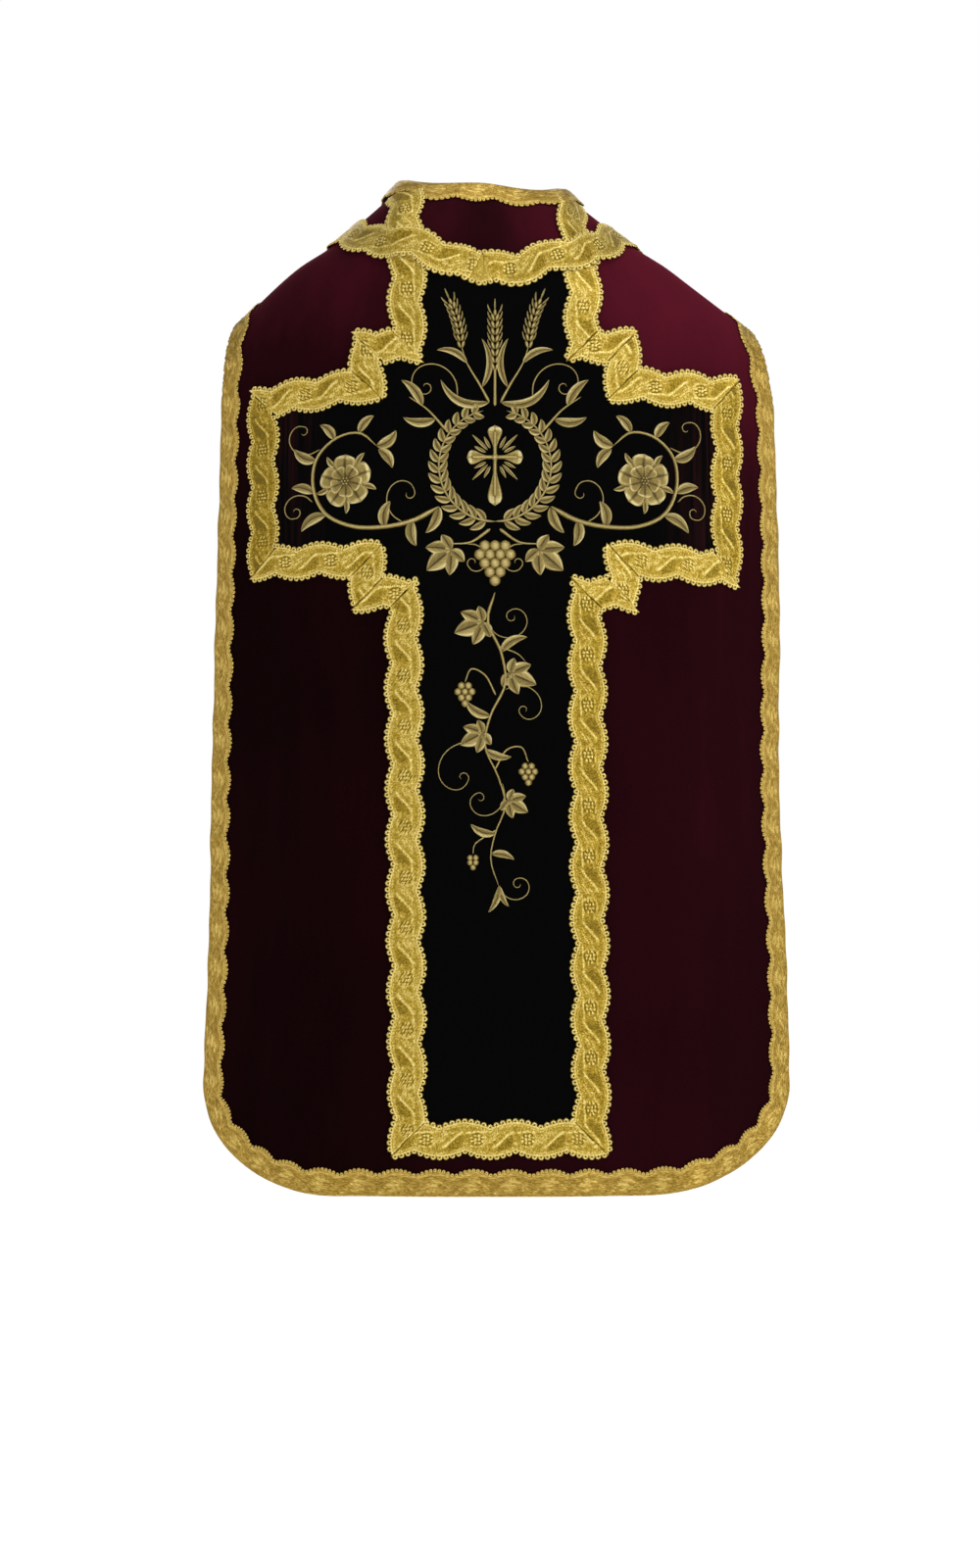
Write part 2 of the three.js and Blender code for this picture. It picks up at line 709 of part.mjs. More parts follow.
// The folded tape's section at one place of an edge: along runs with the edge, and the
// cloth lies on its left when seen from outside. Leg shares are the widths, in parts of
// the whole, at which each leg has its corners.
function bindingSection(here, along, width, legShares = [1]) {
  const { thickness, foldGap, lift } = BINDING;
  const near = WALL / 2 + lift;
  const far = near + thickness;
  const at = (sideways, lift) => {
    if (sideways > 0) return besideLine(here, along, sideways, lift);
    const up = outward(here.x, here.t);
    const side = up.clone().cross(along).normalize();
    return lifted(here.x, here.t, lift).addScaledVector(side, sideways);
  };
  const beyond = -foldGap;
  const outside = -foldGap - thickness;
  const leg = (height) => legShares.map((share) => at(width * share, height));
  return [
    ...leg(far),
    at(outside, far),
    at(outside, -far),
    ...leg(-far).toReversed(),
    ...leg(-near),
    at(beyond, -near),
    at(beyond, near),
    ...leg(near).toReversed(),
  ];
}

// Sections are dense where the cloth bends over the shoulder, and few where it hangs.
const SECTIONS_IN_WAVE = 6;
const CORNERS_BELOW = -840;
function boundBy(places, scallop, every) {
  const total = places.at(-1).length;
  const waves = Math.round(total / BINDING.wave);
  const steps = waves * SECTIONS_IN_WAVE;
  const sections = [];
  for (let i = 0; i <= steps; i += 1) {
    const length = (i / steps) * total;
    const here = placeAt(places, length);
    const z = cloth(here.x, here.t).z;
    const region = Math.abs(here.t) < 1 ? "shoulder" : z > CORNERS_BELOW ? "side" : "hem";
    if (i % every[region] > 0) continue;
    const swell = scallop * (2 * Math.abs(Math.sin((Math.PI * waves * i) / steps)) - 1);
    sections.push(bindingSection(here, directionAt(places, length), BINDING.width + swell));
  }
  return solidOf(sweepOf(sections, false));
}

function neckBinding() {
  const places = neckPlaces();
  const at = (i) => {
    const place = places[(i + places.length) % places.length];
    return cloth(place.x, place.t);
  };
  const sections = places.map((place, i) =>
    bindingSection(place, at(i - 1).sub(at(i + 1)).normalize(), BINDING.width, [1, 0.5]),
  );
  return solidOf(sweepOf(sections, true));
}

// ---- The garment ------------------------------------------------------------------------
const velvet = new THREE.MeshStandardMaterial({ color: 0x3a0d1c, roughness: 0.9, metalness: 0 });
const darkVelvet = new THREE.MeshStandardMaterial({ color: 0x0d0709, roughness: 0.95, metalness: 0 });
const gold = new THREE.MeshStandardMaterial({ color: 0xc9a848, roughness: 0.45, metalness: 0.6 });
const oldGold = new THREE.MeshStandardMaterial({ color: 0xae8a45, roughness: 0.5, metalness: 0.6 });

const chasuble = new THREE.Group();
function piece(name, geometry, material) {
  const mesh = new THREE.Mesh(geometry, material);
  mesh.name = name;
  chasuble.add(mesh);
}

const plug = neckPlug();
piece("back_panel", geometryOf(panel(backPlace, BACK_ROWS).subtract(plug)), velvet);
piece("front_panel", geometryOf(panel(frontPlace, FRONT_ROWS).subtract(plug)), velvet);

const bandCutter = band(-1, SEAM_GAP).add(band(1, SEAM_GAP));
piece("band_left", geometryOf(band(-1, 0)), gold);
piece("band_right", geometryOf(band(1, 0)), gold);

// Bindings fold over the panels, so a slightly grown panel clears them of it.
const CLEARANCE = 0.25;
const narrowPlug = neckPlug(CLEARANCE);
const backRoom = panel(backPlace, BACK_ROWS, CLEARANCE).subtract(narrowPlug);
const frontRoom = panel(frontPlace, FRONT_ROWS, CLEARANCE).subtract(narrowPlug);
const neckTape = mainBody(neckBinding().subtract(backRoom).subtract(frontRoom));

piece("cross_panel", geometryOf(mainBody(solidOf(crossPanel()).subtract(bandCutter))), darkVelvet);
for (const { name, geometry } of crossRuns()) {
  const underBand = name.includes("pillar_top");
  const shape = underBand ? geometryOf(mainBody(solidOf(geometry).subtract(bandCutter))) : geometry;
  piece(name, shape, gold);
}
for (const strip of NECK_STRIPS) {
  const shape = solidOf(curvedGalloon(neckStripPlaces(strip))).subtract(bandCutter);
  piece("neck_strip_" + strip.side, geometryOf(mainBody(shape.subtract(neckTape))), gold);
}

const BACK_EVERY = { shoulder: 1, side: 3, hem: 3 };
const FRONT_EVERY = { shoulder: 2, side: 6, hem: 3 };
const pastSeam = shoulderSlab(SEAM_T, SEAM_T - 0.2);
const beforeSeam = shoulderSlab(SEAM_T - 0.002, SEAM_T + 0.2);
const backTape = boundBy(backBoundary(), BINDING.scallop, BACK_EVERY).subtract(pastSeam).subtract(backRoom);
const frontTape = boundBy(frontBoundary(), 0, FRONT_EVERY).subtract(beforeSeam).subtract(frontRoom);
piece("binding_back", geometryOf(mainBody(backTape)), oldGold);
piece("binding_front", geometryOf(mainBody(frontTape)), oldGold);
piece("binding_neck", geometryOf(neckTape), oldGold);

export default chasuble;
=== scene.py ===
# A Roman chasuble of wine-red velvet, hanging as it is worn and seen from behind: velvet
# panels, a stepped cross of dark velvet with gold needlework, scalloped galloon round the
# cross and the shoulders, and a narrower galloon folded over every edge.
# It is laid out as an add-on: sizes and colours are properties, and each piece or group of
# like pieces has an operator. The cloth's form is worked out in millimetres, +Z up, with
# the back towards -Y, and meshes are made in metres.
import math

import bpy
import numpy as np
from bpy.props import FloatProperty, FloatVectorProperty, PointerProperty
from bpy.types import Operator, Panel, PropertyGroup
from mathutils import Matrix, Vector


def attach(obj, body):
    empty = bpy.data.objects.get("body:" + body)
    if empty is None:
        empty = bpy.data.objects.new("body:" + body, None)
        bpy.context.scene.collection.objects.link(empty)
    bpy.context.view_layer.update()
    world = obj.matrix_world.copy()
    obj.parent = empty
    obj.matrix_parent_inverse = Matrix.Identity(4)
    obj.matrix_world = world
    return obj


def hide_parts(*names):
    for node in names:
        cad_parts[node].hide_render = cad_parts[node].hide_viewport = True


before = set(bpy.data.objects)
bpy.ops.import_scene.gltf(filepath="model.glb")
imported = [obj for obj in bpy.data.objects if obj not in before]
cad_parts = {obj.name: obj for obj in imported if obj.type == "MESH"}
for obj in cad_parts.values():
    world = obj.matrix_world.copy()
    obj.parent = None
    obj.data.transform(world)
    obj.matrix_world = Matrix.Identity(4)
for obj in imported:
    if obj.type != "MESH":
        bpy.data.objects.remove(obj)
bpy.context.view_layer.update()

bl_info = {
    "name": "Roman Chasuble",
    "version": (1, 0, 0),
    "blender": (4, 5, 0),
    "location": "View3D > Sidebar > Chasuble",
    "description": "Sews a Roman chasuble of velvet, galloon and gold needlework",
    "category": "Mesh",
}

MM = 0.001
METRE = 1000
QUARTER = math.pi / 2
BODY = "root"


# ---- The cut and the hang of the cloth --------------------------------------------------
# Height of the shoulder line, from the wearer's left to the right: (x, z).
SHOULDER_LINE = [
    (-360, -205), (-279, -133), (-236, -92), (-212, -72), (-178, -50), (-125, -6), (-97, 21),
    (-12, 41), (73, 12), (95, -7), (152, -50), (187, -72), (215, -93), (278, -141), (360, -205),
]

# Side edges of the back. t runs from the shoulder seam (below 0) over the shoulder line (0)
# to the end of the shoulder curve (1), and past 1 it counts metres down: (t, left, right).
SEAM_T = -0.28
BACK_EDGE = [
    (SEAM_T, -263, 263), (0, -279, 278), (0.5, -290.5, 294), (1, -295.5, 304),
    (1.2, -301, 310.5), (1.42, -306, 309.5), (1.6, -308.5, 316.5), (1.75, -314, 320),
    (2, -315, 321),
]

# Side edges of the front, cut in at the chest to free the arms: (t, half its width).
FRONT_EDGE = [
    (-2, 292), (-1.72, 288), (-1.5, 270), (-1.3, 232), (-1.12, 205), (-0.95, 203),
    (-0.72, 218), (-0.5, 238), (SEAM_T, 263),
]

BACK_HEM = {"z": -1079, "left_corner": 150, "right_corner": 174, "corner_high": 118}
FRONT_HEM = {"z": -960, "left_corner": 110, "right_corner": 110, "corner_high": 95}
HEM_ROUNDNESS = 2.15

# Broad folds that open towards the hem: (x, half its width, how far it stands out there).
BACK_FOLDS = [
    (-262, 40, -5), (-200, 50, 8), (-140, 40, -4), (148, 44, -5), (216, 52, 11), (284, 40, -8),
]
FRONT_FOLDS = [(-200, 55, 7), (-110, 60, -6), (100, 60, -6), (195, 55, 7)]

# Finer creases: (x and z of the head, z of the foot, how far the foot lies beside the head,
# half its width, depth of the trough; a ridge is below 0).
BACK_CREASES = [
    (-122, -62, -300, -118, 19, 2.3), (-168, -96, -392, -92, 15, -1.5),
    (-215, -150, -470, -38, 13, 1.3), (112, -70, -292, 126, 20, 2.5),
    (158, -104, -350, 104, 14, -1.7), (222, -170, -520, 42, 15, 1.5),
    (-42, -64, -122, 30, 13, 1.1), (26, -62, -130, -20, 12, 1.3),
    (-252, -400, -1065, 17, 25, 1.9), (-214, -560, -1079, -12, 21, -1.6),
    (-168, -480, -1020, -9, 27, 1.5), (-132, -690, -1079, 7, 16, -1.0),
    (150, -520, -1060, 9, 22, 1.7), (184, -640, -1079, 13, 26, -2.1),
    (232, -380, -1070, -13, 24, 2.0), (276, -610, -1040, 6, 17, -1.3),
    (-46, -470, -900, 15, 20, 0.8), (12, -540, -1010, -13, 17, -0.7),
    (50, -620, -1000, 6, 13, 0.6),
]
FRONT_CREASES = [
    (-150, -70, -330, -40, 20, 2.2), (134, -80, -360, 52, 22, 2.4),
    (-90, -150, -520, -26, 17, -1.6), (70, -190, -600, 18, 19, 1.8),
    (-20, -240, -900, 14, 26, -2.0), (-188, -430, -950, 20, 24, 2.3),
    (196, -400, -955, -16, 27, 2.1), (120, -520, -955, 9, 18, -1.5),
    (-112, -610, -958, -8, 20, -1.4), (28, -560, -955, -9, 16, 1.3),
]

# Neck hole seen from above: a rounded rectangle about a centre in front of the nape.
NECK_CENTRE_X = -12
NECK = {"x": NECK_CENTRE_X, "y": 12, "half": 85.5, "back": 80, "front": 83, "squareness": 2.8}

# The cross in flat cloth: distances from its own centre line, heights above the origin.
CROSS_X = 1
FOOT_DRIFT = 5
PILLAR_TOP = 94
PILLAR = 98
STEP = 137
ARM = 260.5
STEP_TOP = -171
ARM_TOP = -212
ARM_FOOT = -400
STEP_FOOT = -437
FOOT = -1020
DROOP = {"left": (2, 16), "right": (8, 6)}  # how far an arm's end hangs, at its foot and top

# Thickness of the two velvets.
VELVET_WALL = 2.0
CROSS_WALL = 0.8
# Heights of the layers above the middle of the wine-red velvet.
CROSS_MIDDLE = 2.3
CROSS_FACE = 2.7
GALLOON_MIDDLE = 3.8
# How much the band and the neck tape rise where they pass over other tapes.
UNDER_BAND = 2.0
UNDER_NECK_TAPE = 3.3

# The form that the cloth hangs on. From the shoulder line a curve reaches out by a depth and
# down by a drop, less of both towards the sides; below it the cloth swings further out.
HALF_WIDTH = 290  # where the side's share of each value counts in full
HANG_LENGTH = 870  # from the end of the curve to the back's hem
SWING_GROWTH = 1.6  # power by which the swing grows on the way down
MIDDLE_ROUNDING = 40  # the drop has no ridge in the middle
BACK_FORM = {
    "depth": 128, "side_depth": 86, "depth_power": 2.8,
    "drop": 207, "drop_slope": 0.535,
    "swing": 20, "side_swing": 30, "swing_power": 2.4, "folds": BACK_FOLDS,
}
FRONT_FORM = {
    "depth": 112, "side_depth": 52, "depth_power": 2.2,
    "drop": 250, "drop_slope": 0.62,
    "swing": 12, "side_swing": 24, "swing_power": 2.2, "folds": FRONT_FOLDS,
}
# What the turn of the cloth towards its sides takes off the flat cross's width.
TURN_LOSS = 21
TURN_POWER = 4.6

# Ripples that make up a pucker: (height, mm to a radian, start in radians).
RIPPLES = [(0.55, 6.9, 0.0), (0.5, 10.7, 1.3), (0.45, 17.3, 4.1), (0.35, 29.0, 2.2)]
# Puckers beside the side edges and the hem: (height, how far in they reach).
SIDE_PUCKER = (0.8, 26)
HEM_PUCKER = (0.7, 30)


def hermite(f, start, start_pull, end, end_pull):
    """A smooth way from start to end, leaving and arriving as the pulls say."""
    left = (2 * f**3 - 3 * f**2 + 1) * start + (f**3 - 2 * f**2 + f) * start_pull
    return left + (3 * f**2 - 2 * f**3) * end + (f**3 - f**2) * end_pull


def smooth_curve(rows, column=1):
    """A smooth curve through a table's rows, straight beyond its ends."""
    table = np.array(rows, float)
    places, values = table[:, 0], table[:, column]
    last = len(rows) - 1
    order = np.arange(last + 1)
    before, after = np.maximum(order - 1, 0), np.minimum(order + 1, last)
    slopes = (values[after] - values[before]) / (places[after] - places[before])

    def curve(at):
        at = np.asarray(at, float)
        i = np.clip(np.searchsorted(places, at) - 1, 0, last - 1)
        span = places[i + 1] - places[i]
        f = (at - places[i]) / span
        inside = hermite(f, values[i], span * slopes[i], values[i + 1], span * slopes[i + 1])
        low = values[0] + slopes[0] * (at - places[0])
        high = values[-1] + slopes[-1] * (at - places[-1])
        return np.where(at <= places[0], low, np.where(at >= places[-1], high, inside))

    return curve


shoulder_z = smooth_curve(SHOULDER_LINE)
back_left = smooth_curve(BACK_EDGE)
back_right = smooth_curve(BACK_EDGE, 2)
front_half = smooth_curve(FRONT_EDGE)


def depth_of(x, back):
    """How far the shoulder curve reaches out, behind or in front."""
    share = np.abs(x / HALF_WIDTH)

    def depth(form):
        return form["depth"] - form["side_depth"] * share ** form["depth_power"]

    return np.where(back, depth(BACK_FORM), depth(FRONT_FORM))


def drop_of(x, back):
    """How far down the shoulder curve goes."""
    sideways = np.hypot(x, MIDDLE_ROUNDING) - MIDDLE_ROUNDING

    def drop(form):
        return form["drop"] - form["drop_slope"] * sideways

    return np.where(back, drop(BACK_FORM), drop(FRONT_FORM))


def swing_of(x, below, back):
    """How far the cloth swings out that many mm below the shoulder curve."""
    share = np.abs(x / HALF_WIDTH)

    def swing(form):
        folds = sum(rise * np.exp(-(((x - at) / half) ** 2)) for at, half, rise in form["folds"])
        return form["swing"] + form["side_swing"] * share ** form["swing_power"] + folds

    grown = (below / HANG_LENGTH) ** SWING_GROWTH
    return grown * np.where(back, swing(BACK_FORM), swing(FRONT_FORM))


def cloth(x, t):
    """Points of the cloth's middle: x across, t over the shoulder."""
    back = t >= 0
    turn = np.minimum(np.abs(t), 1) * QUARTER
    below = np.maximum(0, np.abs(t) - 1) * METRE
    out = depth_of(x, back) * np.sin(turn) + swing_of(x, below, back)
    z = shoulder_z(x) - drop_of(x, back) * (1 - np.cos(turn)) - below
    return np.stack([x, np.where(back, -out, out), z], -1)


def outward(x, t):
    """The directions in which the cloth faces out."""
    step = 0.004
    down = cloth(x, t + step) - cloth(x, t - step)
    across = cloth(x + 1, t) - cloth(x - 1, t)
    return unit(np.cross(down, across))


def unit(vectors):
    return vectors / np.linalg.norm(vectors, axis=-1, keepdims=True)


def t_near(points):
    """The t of the cloth nearest to points that already lie close to it."""
    x, y, z = points[..., 0], points[..., 1], points[..., 2]
    back = y < 0
    drop = drop_of(x, back)
    start = shoulder_z(x) - drop
    turn = np.arctan2(np.abs(y) / depth_of(x, back), (z - start) / drop) / QUARTER
    t = np.where(z <= start, 1 + (start - z) / METRE, turn)
    return np.where(back, t, -t)


def back_t(x, z):
    """The t of the back at a height."""
    drop = drop_of(x, True)
    start = shoulder_z(x) - drop
    curved = np.arccos(np.clip(1 - (shoulder_z(x) - z) / drop, -1, 1)) / QUARTER
    return np.where(z <= start, 1 + (start - z) / METRE, curved)


def crease_depth(creases, x, z):
    """How deep the creases of a table lie below the smooth cloth."""
    deep = np.zeros_like(x)
    for head_x, head_z, foot_z, lean, half, depth in creases:
        down = (head_z - z) / (head_z - foot_z)
        # A crease winds a little as it falls.
        centre = head_x + lean * down + 0.25 * half * np.sin(7 * down + head_x)
        fade = np.sin(math.pi * np.clip(down, 0, 1)) ** 0.8
        deep += depth * fade * np.exp(-(((x - centre) / half) ** 2))
    return deep


def pucker(along, inward, height, reach):
    """Small uneven ripples beside a sewn edge, dying away within their reach."""
    wave = sum(high * np.sin(along / length + start) for high, length, start in RIPPLES)
    return height * wave * np.exp(-((inward / reach) ** 2))


def unevenness(x, t):
    """How far the real cloth lies above its smooth form."""
    z = cloth(x, t)[..., 2]
    back = t >= 0
    rise = -np.where(back, crease_depth(BACK_CREASES, x, z), crease_depth(FRONT_CREASES, x, z))
    from_edge = np.where(
        t > SEAM_T,
        np.minimum(x - back_left(t), back_right(t) - x),
        front_half(t) - np.abs(x),
    )
    rise += pucker(np.abs(t) * METRE, from_edge, *SIDE_PUCKER)
    hem = np.where(back, BACK_HEM["z"], FRONT_HEM["z"])
    return rise + pucker(x + 0.2 * z, z - hem, *HEM_PUCKER)


def draped(x, t, lift):
    """Points above the cloth by a lift, on its creases."""
    rise = lift + unevenness(x, t)
    return cloth(x, t) + outward(x, t) * rise[..., None]


def mix(a, b, share):
    return a + (b - a) * share


def hem_z(hem, x, left, right):
    """Height of a hem with rounded corners."""
    corner = np.where(x - left < right - x, hem["left_corner"], hem["right_corner"])
    inward = np.maximum(0, np.minimum(x - left, right - x))
    across = np.clip((corner - inward) / corner, 0, 1)
    down = (1 - across**HEM_ROUNDNESS) ** (1 / HEM_ROUNDNESS)
    return hem["z"] + hem["corner_high"] * (1 - down)


def back_place(u, row):
    """x and t on the back: u across from -1 to 1, row by t, and past 1 by share of the drop."""
    _, left, right = BACK_EDGE[-1]
    hem_x = mix(left, right, (u + 1) / 2)
    hem_t = back_t(hem_x, hem_z(BACK_HEM, hem_x, left, right))
    t = np.where(row <= 1, row, mix(1, hem_t, row - 1))
    return mix(back_left(t), back_right(t), (u + 1) / 2), t


def front_place(u, row):
    """x and t on the front, counted as on the back."""
    half = FRONT_EDGE[0][1]
    hem_x = u * half
    start = shoulder_z(hem_x) - drop_of(hem_x, False)
    hem_t = 1 + (start - hem_z(FRONT_HEM, hem_x, -half, half)) / METRE
    t = -np.where(row <= 1, row, mix(1, hem_t, row - 1))
    return u * front_half(t), t


def cross_place(flat, height):
    """x and t on the back for places of the flat cross."""
    x = flat
    # The loss depends on x itself, so x is found by repeating.
    for _ in range(8):
        x = flat - TURN_LOSS * np.sign(x) * np.abs(x / HALF_WIDTH) ** TURN_POWER
    foot_share = np.maximum(0, (STEP_FOOT - height) / (STEP_FOOT - FOOT))
    out_share = np.maximum(0, (np.abs(flat) - STEP) / (ARM - STEP))
    height_share = (height - ARM_FOOT) / (ARM_TOP - ARM_FOOT)
    left = mix(*DROOP["left"], height_share)
    right = mix(*DROOP["right"], height_share)
    z = height - out_share * np.where(flat < 0, left, right)
    x = CROSS_X + FOOT_DRIFT * foot_share + x
    return x, back_t(x, z)


# ---- Colours ----------------------------------------------------------------------------
def linear(hex_colour):
    """An sRGB hex colour as linear red, green, blue and alpha."""

    def channel(value):
        value /= 255
        return value / 12.92 if value <= 0.04045 else ((value + 0.055) / 1.055) ** 2.4

    return tuple(channel(int(hex_colour[i : i + 2], 16)) for i in (1, 3, 5)) + (1.0,)


def colour_setting(name, hex_colour, description):
    return FloatVectorProperty(
        name=name,
        description=description,
        subtype="COLOR",
        size=4,
        min=0,
        max=1,
        default=linear(hex_colour),
    )


def size_setting(name, default_mm, description):
    return FloatProperty(
        name=name, description=description, unit="LENGTH", default=default_mm * MM, min=0
    )


class ChasubleSizes(PropertyGroup):
    """Sizes of what is sewn on the cloth."""

    galloon_width: size_setting("Galloon width", 38.5, "Width of the wide galloon with its loops")
    galloon_repeat: size_setting("Galloon repeat", 54, "Length of the galloon's woven repeat")
    galloon_scallop: size_setting("Galloon scallop", 3.3, "How far its edges swing out and in")
    galloon_wall: size_setting("Galloon thickness", 1, "Thickness of the wide galloon")
    picot_pitch: size_setting("Picot pitch", 6.75, "Distance between the galloon's edge loops")
    binding_width: size_setting("Binding width", 22.5, "Width of each leg of the binding")
    binding_repeat: size_setting("Binding repeat", 41, "Length of the binding's repeat")
    binding_wall: size_setting("Binding thickness", 0.8, "Thickness of the binding")
    thread: size_setting("Embroidery thread", 0.9, "Width of a laid thread as it shows")


class ChasubleColours(PropertyGroup):
    """Colours of the cloth, the metal threads and the studio."""

    velvet: colour_setting("Velvet", "#20050a", "Pile of the wine-red velvet")
    # The deep and the brushed velvet are the ends of the velvet's ramp. Besides random streaks of
    # the nap, the ramp holds painted shade on the wearer's left and lower body, and painted light
    # on the right and over the shoulders.
    velvet_deep_and_painted_shade: colour_setting("Velvet, deep and painted shade", "#0e0203", "Pile that leans to the viewer")
    velvet_brushed_and_painted_light: colour_setting("Velvet, brushed and painted light", "#4c101e", "Pile that leans away")
    velvet_sheen: colour_setting("Velvet sheen", "#a3163b", "Light caught by the pile's tips")
    dark: colour_setting("Dark velvet", "#030303", "Pile of the cross's velvet")
    # Painted sheen: the dark velvet's colour turns to this wine red in upright streaks towards the
    # ends of the arms.
    dark_painted_sheen: colour_setting("Dark velvet, painted sheen", "#1e090b", "Red ground where the pile is thin")
    gold: colour_setting("Galloon gold", "#b2942f", "Metal thread of the wide galloon")
    gold_light: colour_setting("Galloon gold, raised", "#efdc8c", "Raised threads of the galloon")
    gold_ground: colour_setting("Galloon ground", "#6f5a14", "Satin ground of the galloon")
    old_gold: colour_setting("Binding gold", "#a48535", "Metal thread of the binding")
    old_gold_light: colour_setting("Binding gold, raised", "#dcc06c", "Raised binding threads")
    old_gold_ground: colour_setting("Binding ground", "#6e5417", "Ground of the binding")
    thread: colour_setting("Needlework gold", "#978344", "Gold thread of the needlework")
    thread_light: colour_setting("Needlework light", "#f2e4a8", "Thread that faces the light")
    thread_shade: colour_setting("Needlework shade", "#2a1d09", "Thread deep in a groove")
    floor: colour_setting("Floor", "#f4f3f1", "Opal acrylic of the studio's lit floor")


# ---- Materials --------------------------------------------------------------------------
# Single filaments of velvet are 0.02 mm; tufts of 1.2 mm are the finest that show.
TUFTS_PER_METRE = 850.0


def add(tree, kind, inputs=None, **settings):
    """A node of a kind with its settings; an input is linked to a socket or set to a value."""
    node = tree.nodes.new(kind)
    for key, value in settings.items():
        setattr(node, key, value)
    for key, value in (inputs or {}).items():
        if isinstance(value, bpy.types.NodeSocket):
            tree.links.new(value, node.inputs[key])
        else:
            node.inputs[key].default_value = value
    return node


def new_material(name):
    """A new material and its empty node tree, or the one that already has that name, and
    no tree."""
    material = bpy.data.materials.get(name)
    if material:
        return material, None
    material = bpy.data.materials.new(name)
    material.use_nodes = True
    material.node_tree.nodes.clear()
    return material, material.node_tree


def wine_velvet(colours):
    """Silk velvet, a cut pile of upright filaments: nearly black where one looks into it, with a
    magenta sheen where its tips catch the light, and faint streaks of the nap. Its colour also
    holds painted light: lighter on the wearer's right and over the shoulders, darker on the left
    and lower down."""
    material, tree = new_material("wine_silk_velvet")
    if tree is None:
        return material
    place = add(tree, "ShaderNodeTexCoord").outputs["Object"]
    nap = add(tree, "ShaderNodeMapping", {"Vector": place, "Scale": (26, 26, 3.2)})
    nap_noise = add(
        tree, "ShaderNodeTexNoise",
        {"Vector": nap.outputs["Vector"], "Scale": 1.0, "Detail": 4.0, "Roughness": 0.6},
    )
    broad = add(tree, "ShaderNodeTexNoise", {"Vector": place, "Scale": 4.2, "Detail": 1.5})
    # Painted light and shade: the colour is lighter towards the wearer's right, a painted key
    # light, and towards the top, more so away from the middle, a painted top light over the
    # shoulders. The left and the lower body stay darker as painted shade. The two noises add
    # random streaks of the nap.
    parts = add(tree, "ShaderNodeSeparateXYZ", {"Vector": place})
    painted_key_light = add(
        tree, "ShaderNodeMapRange",
        {"Value": parts.outputs["X"], "From Min": -0.25, "From Max": 0.2, "To Max": 0.32},
        interpolation_type="SMOOTHSTEP",
    )
    painted_top_light = add(
        tree, "ShaderNodeMapRange",
        {"Value": parts.outputs["Z"], "From Min": -0.44, "From Max": -0.05, "To Max": 0.44},
        interpolation_type="SMOOTHSTEP",
    )
    beside = add(tree, "ShaderNodeMath", {0: parts.outputs["X"]}, operation="ABSOLUTE")
    shoulder = add(
        tree, "ShaderNodeMapRange",
        {"Value": beside.outputs["Value"], "From Min": -0.1, "From Max": 0.2},
        interpolation_type="SMOOTHSTEP",
    )
    # lean adds the painted top light, stronger away from the middle, to the painted key light on
    # the right; the noises below add the nap.
    lean = add(
        tree, "ShaderNodeMath",
        {
            0: painted_top_light.outputs["Result"],
            1: shoulder.outputs["Result"],
            2: painted_key_light.outputs["Result"],
        },
        operation="MULTIPLY_ADD",
    )
    for noise, amount in ((nap_noise, 0.2), (broad, 0.34)):
        lean = add(
            tree, "ShaderNodeMath",
            {0: noise.outputs["Fac"], 1: amount, 2: lean.outputs["Value"]},
            operation="MULTIPLY_ADD",
        )
    ramp = add(tree, "ShaderNodeValToRGB", {"Fac": lean.outputs["Value"]})
    ramp.color_ramp.elements[0].position = 0.24
    ramp.color_ramp.elements[0].color = colours.velvet_deep_and_painted_shade
    ramp.color_ramp.elements[1].position = 1.0
    ramp.color_ramp.elements[1].color = colours.velvet_brushed_and_painted_light
    middle = ramp.color_ramp.elements.new(0.62)
    middle.color = colours.velvet
    tufts = add(
        tree, "ShaderNodeTexNoise", {"Vector": place, "Scale": TUFTS_PER_METRE, "Detail": 2.0}
    )
    bump = add(
        tree, "ShaderNodeBump",
        {"Height": tufts.outputs["Fac"], "Strength": 0.35, "Distance": 0.0006},
    )
    shader = add(
        tree, "ShaderNodeBsdfPrincipled",
        {
            "Base Color": ramp.outputs["Color"],
            "Roughness": 0.9,
            "Specular IOR Level": 0.02,
            "Sheen Weight": 0.4,
            "Sheen Roughness": 0.25,
            "Sheen Tint": tuple(colours.velvet_sheen),
            "Normal": bump.outputs["Normal"],
        },
    )
    add(tree, "ShaderNodeOutputMaterial", {"Surface": shader.outputs["BSDF"]})
    return material


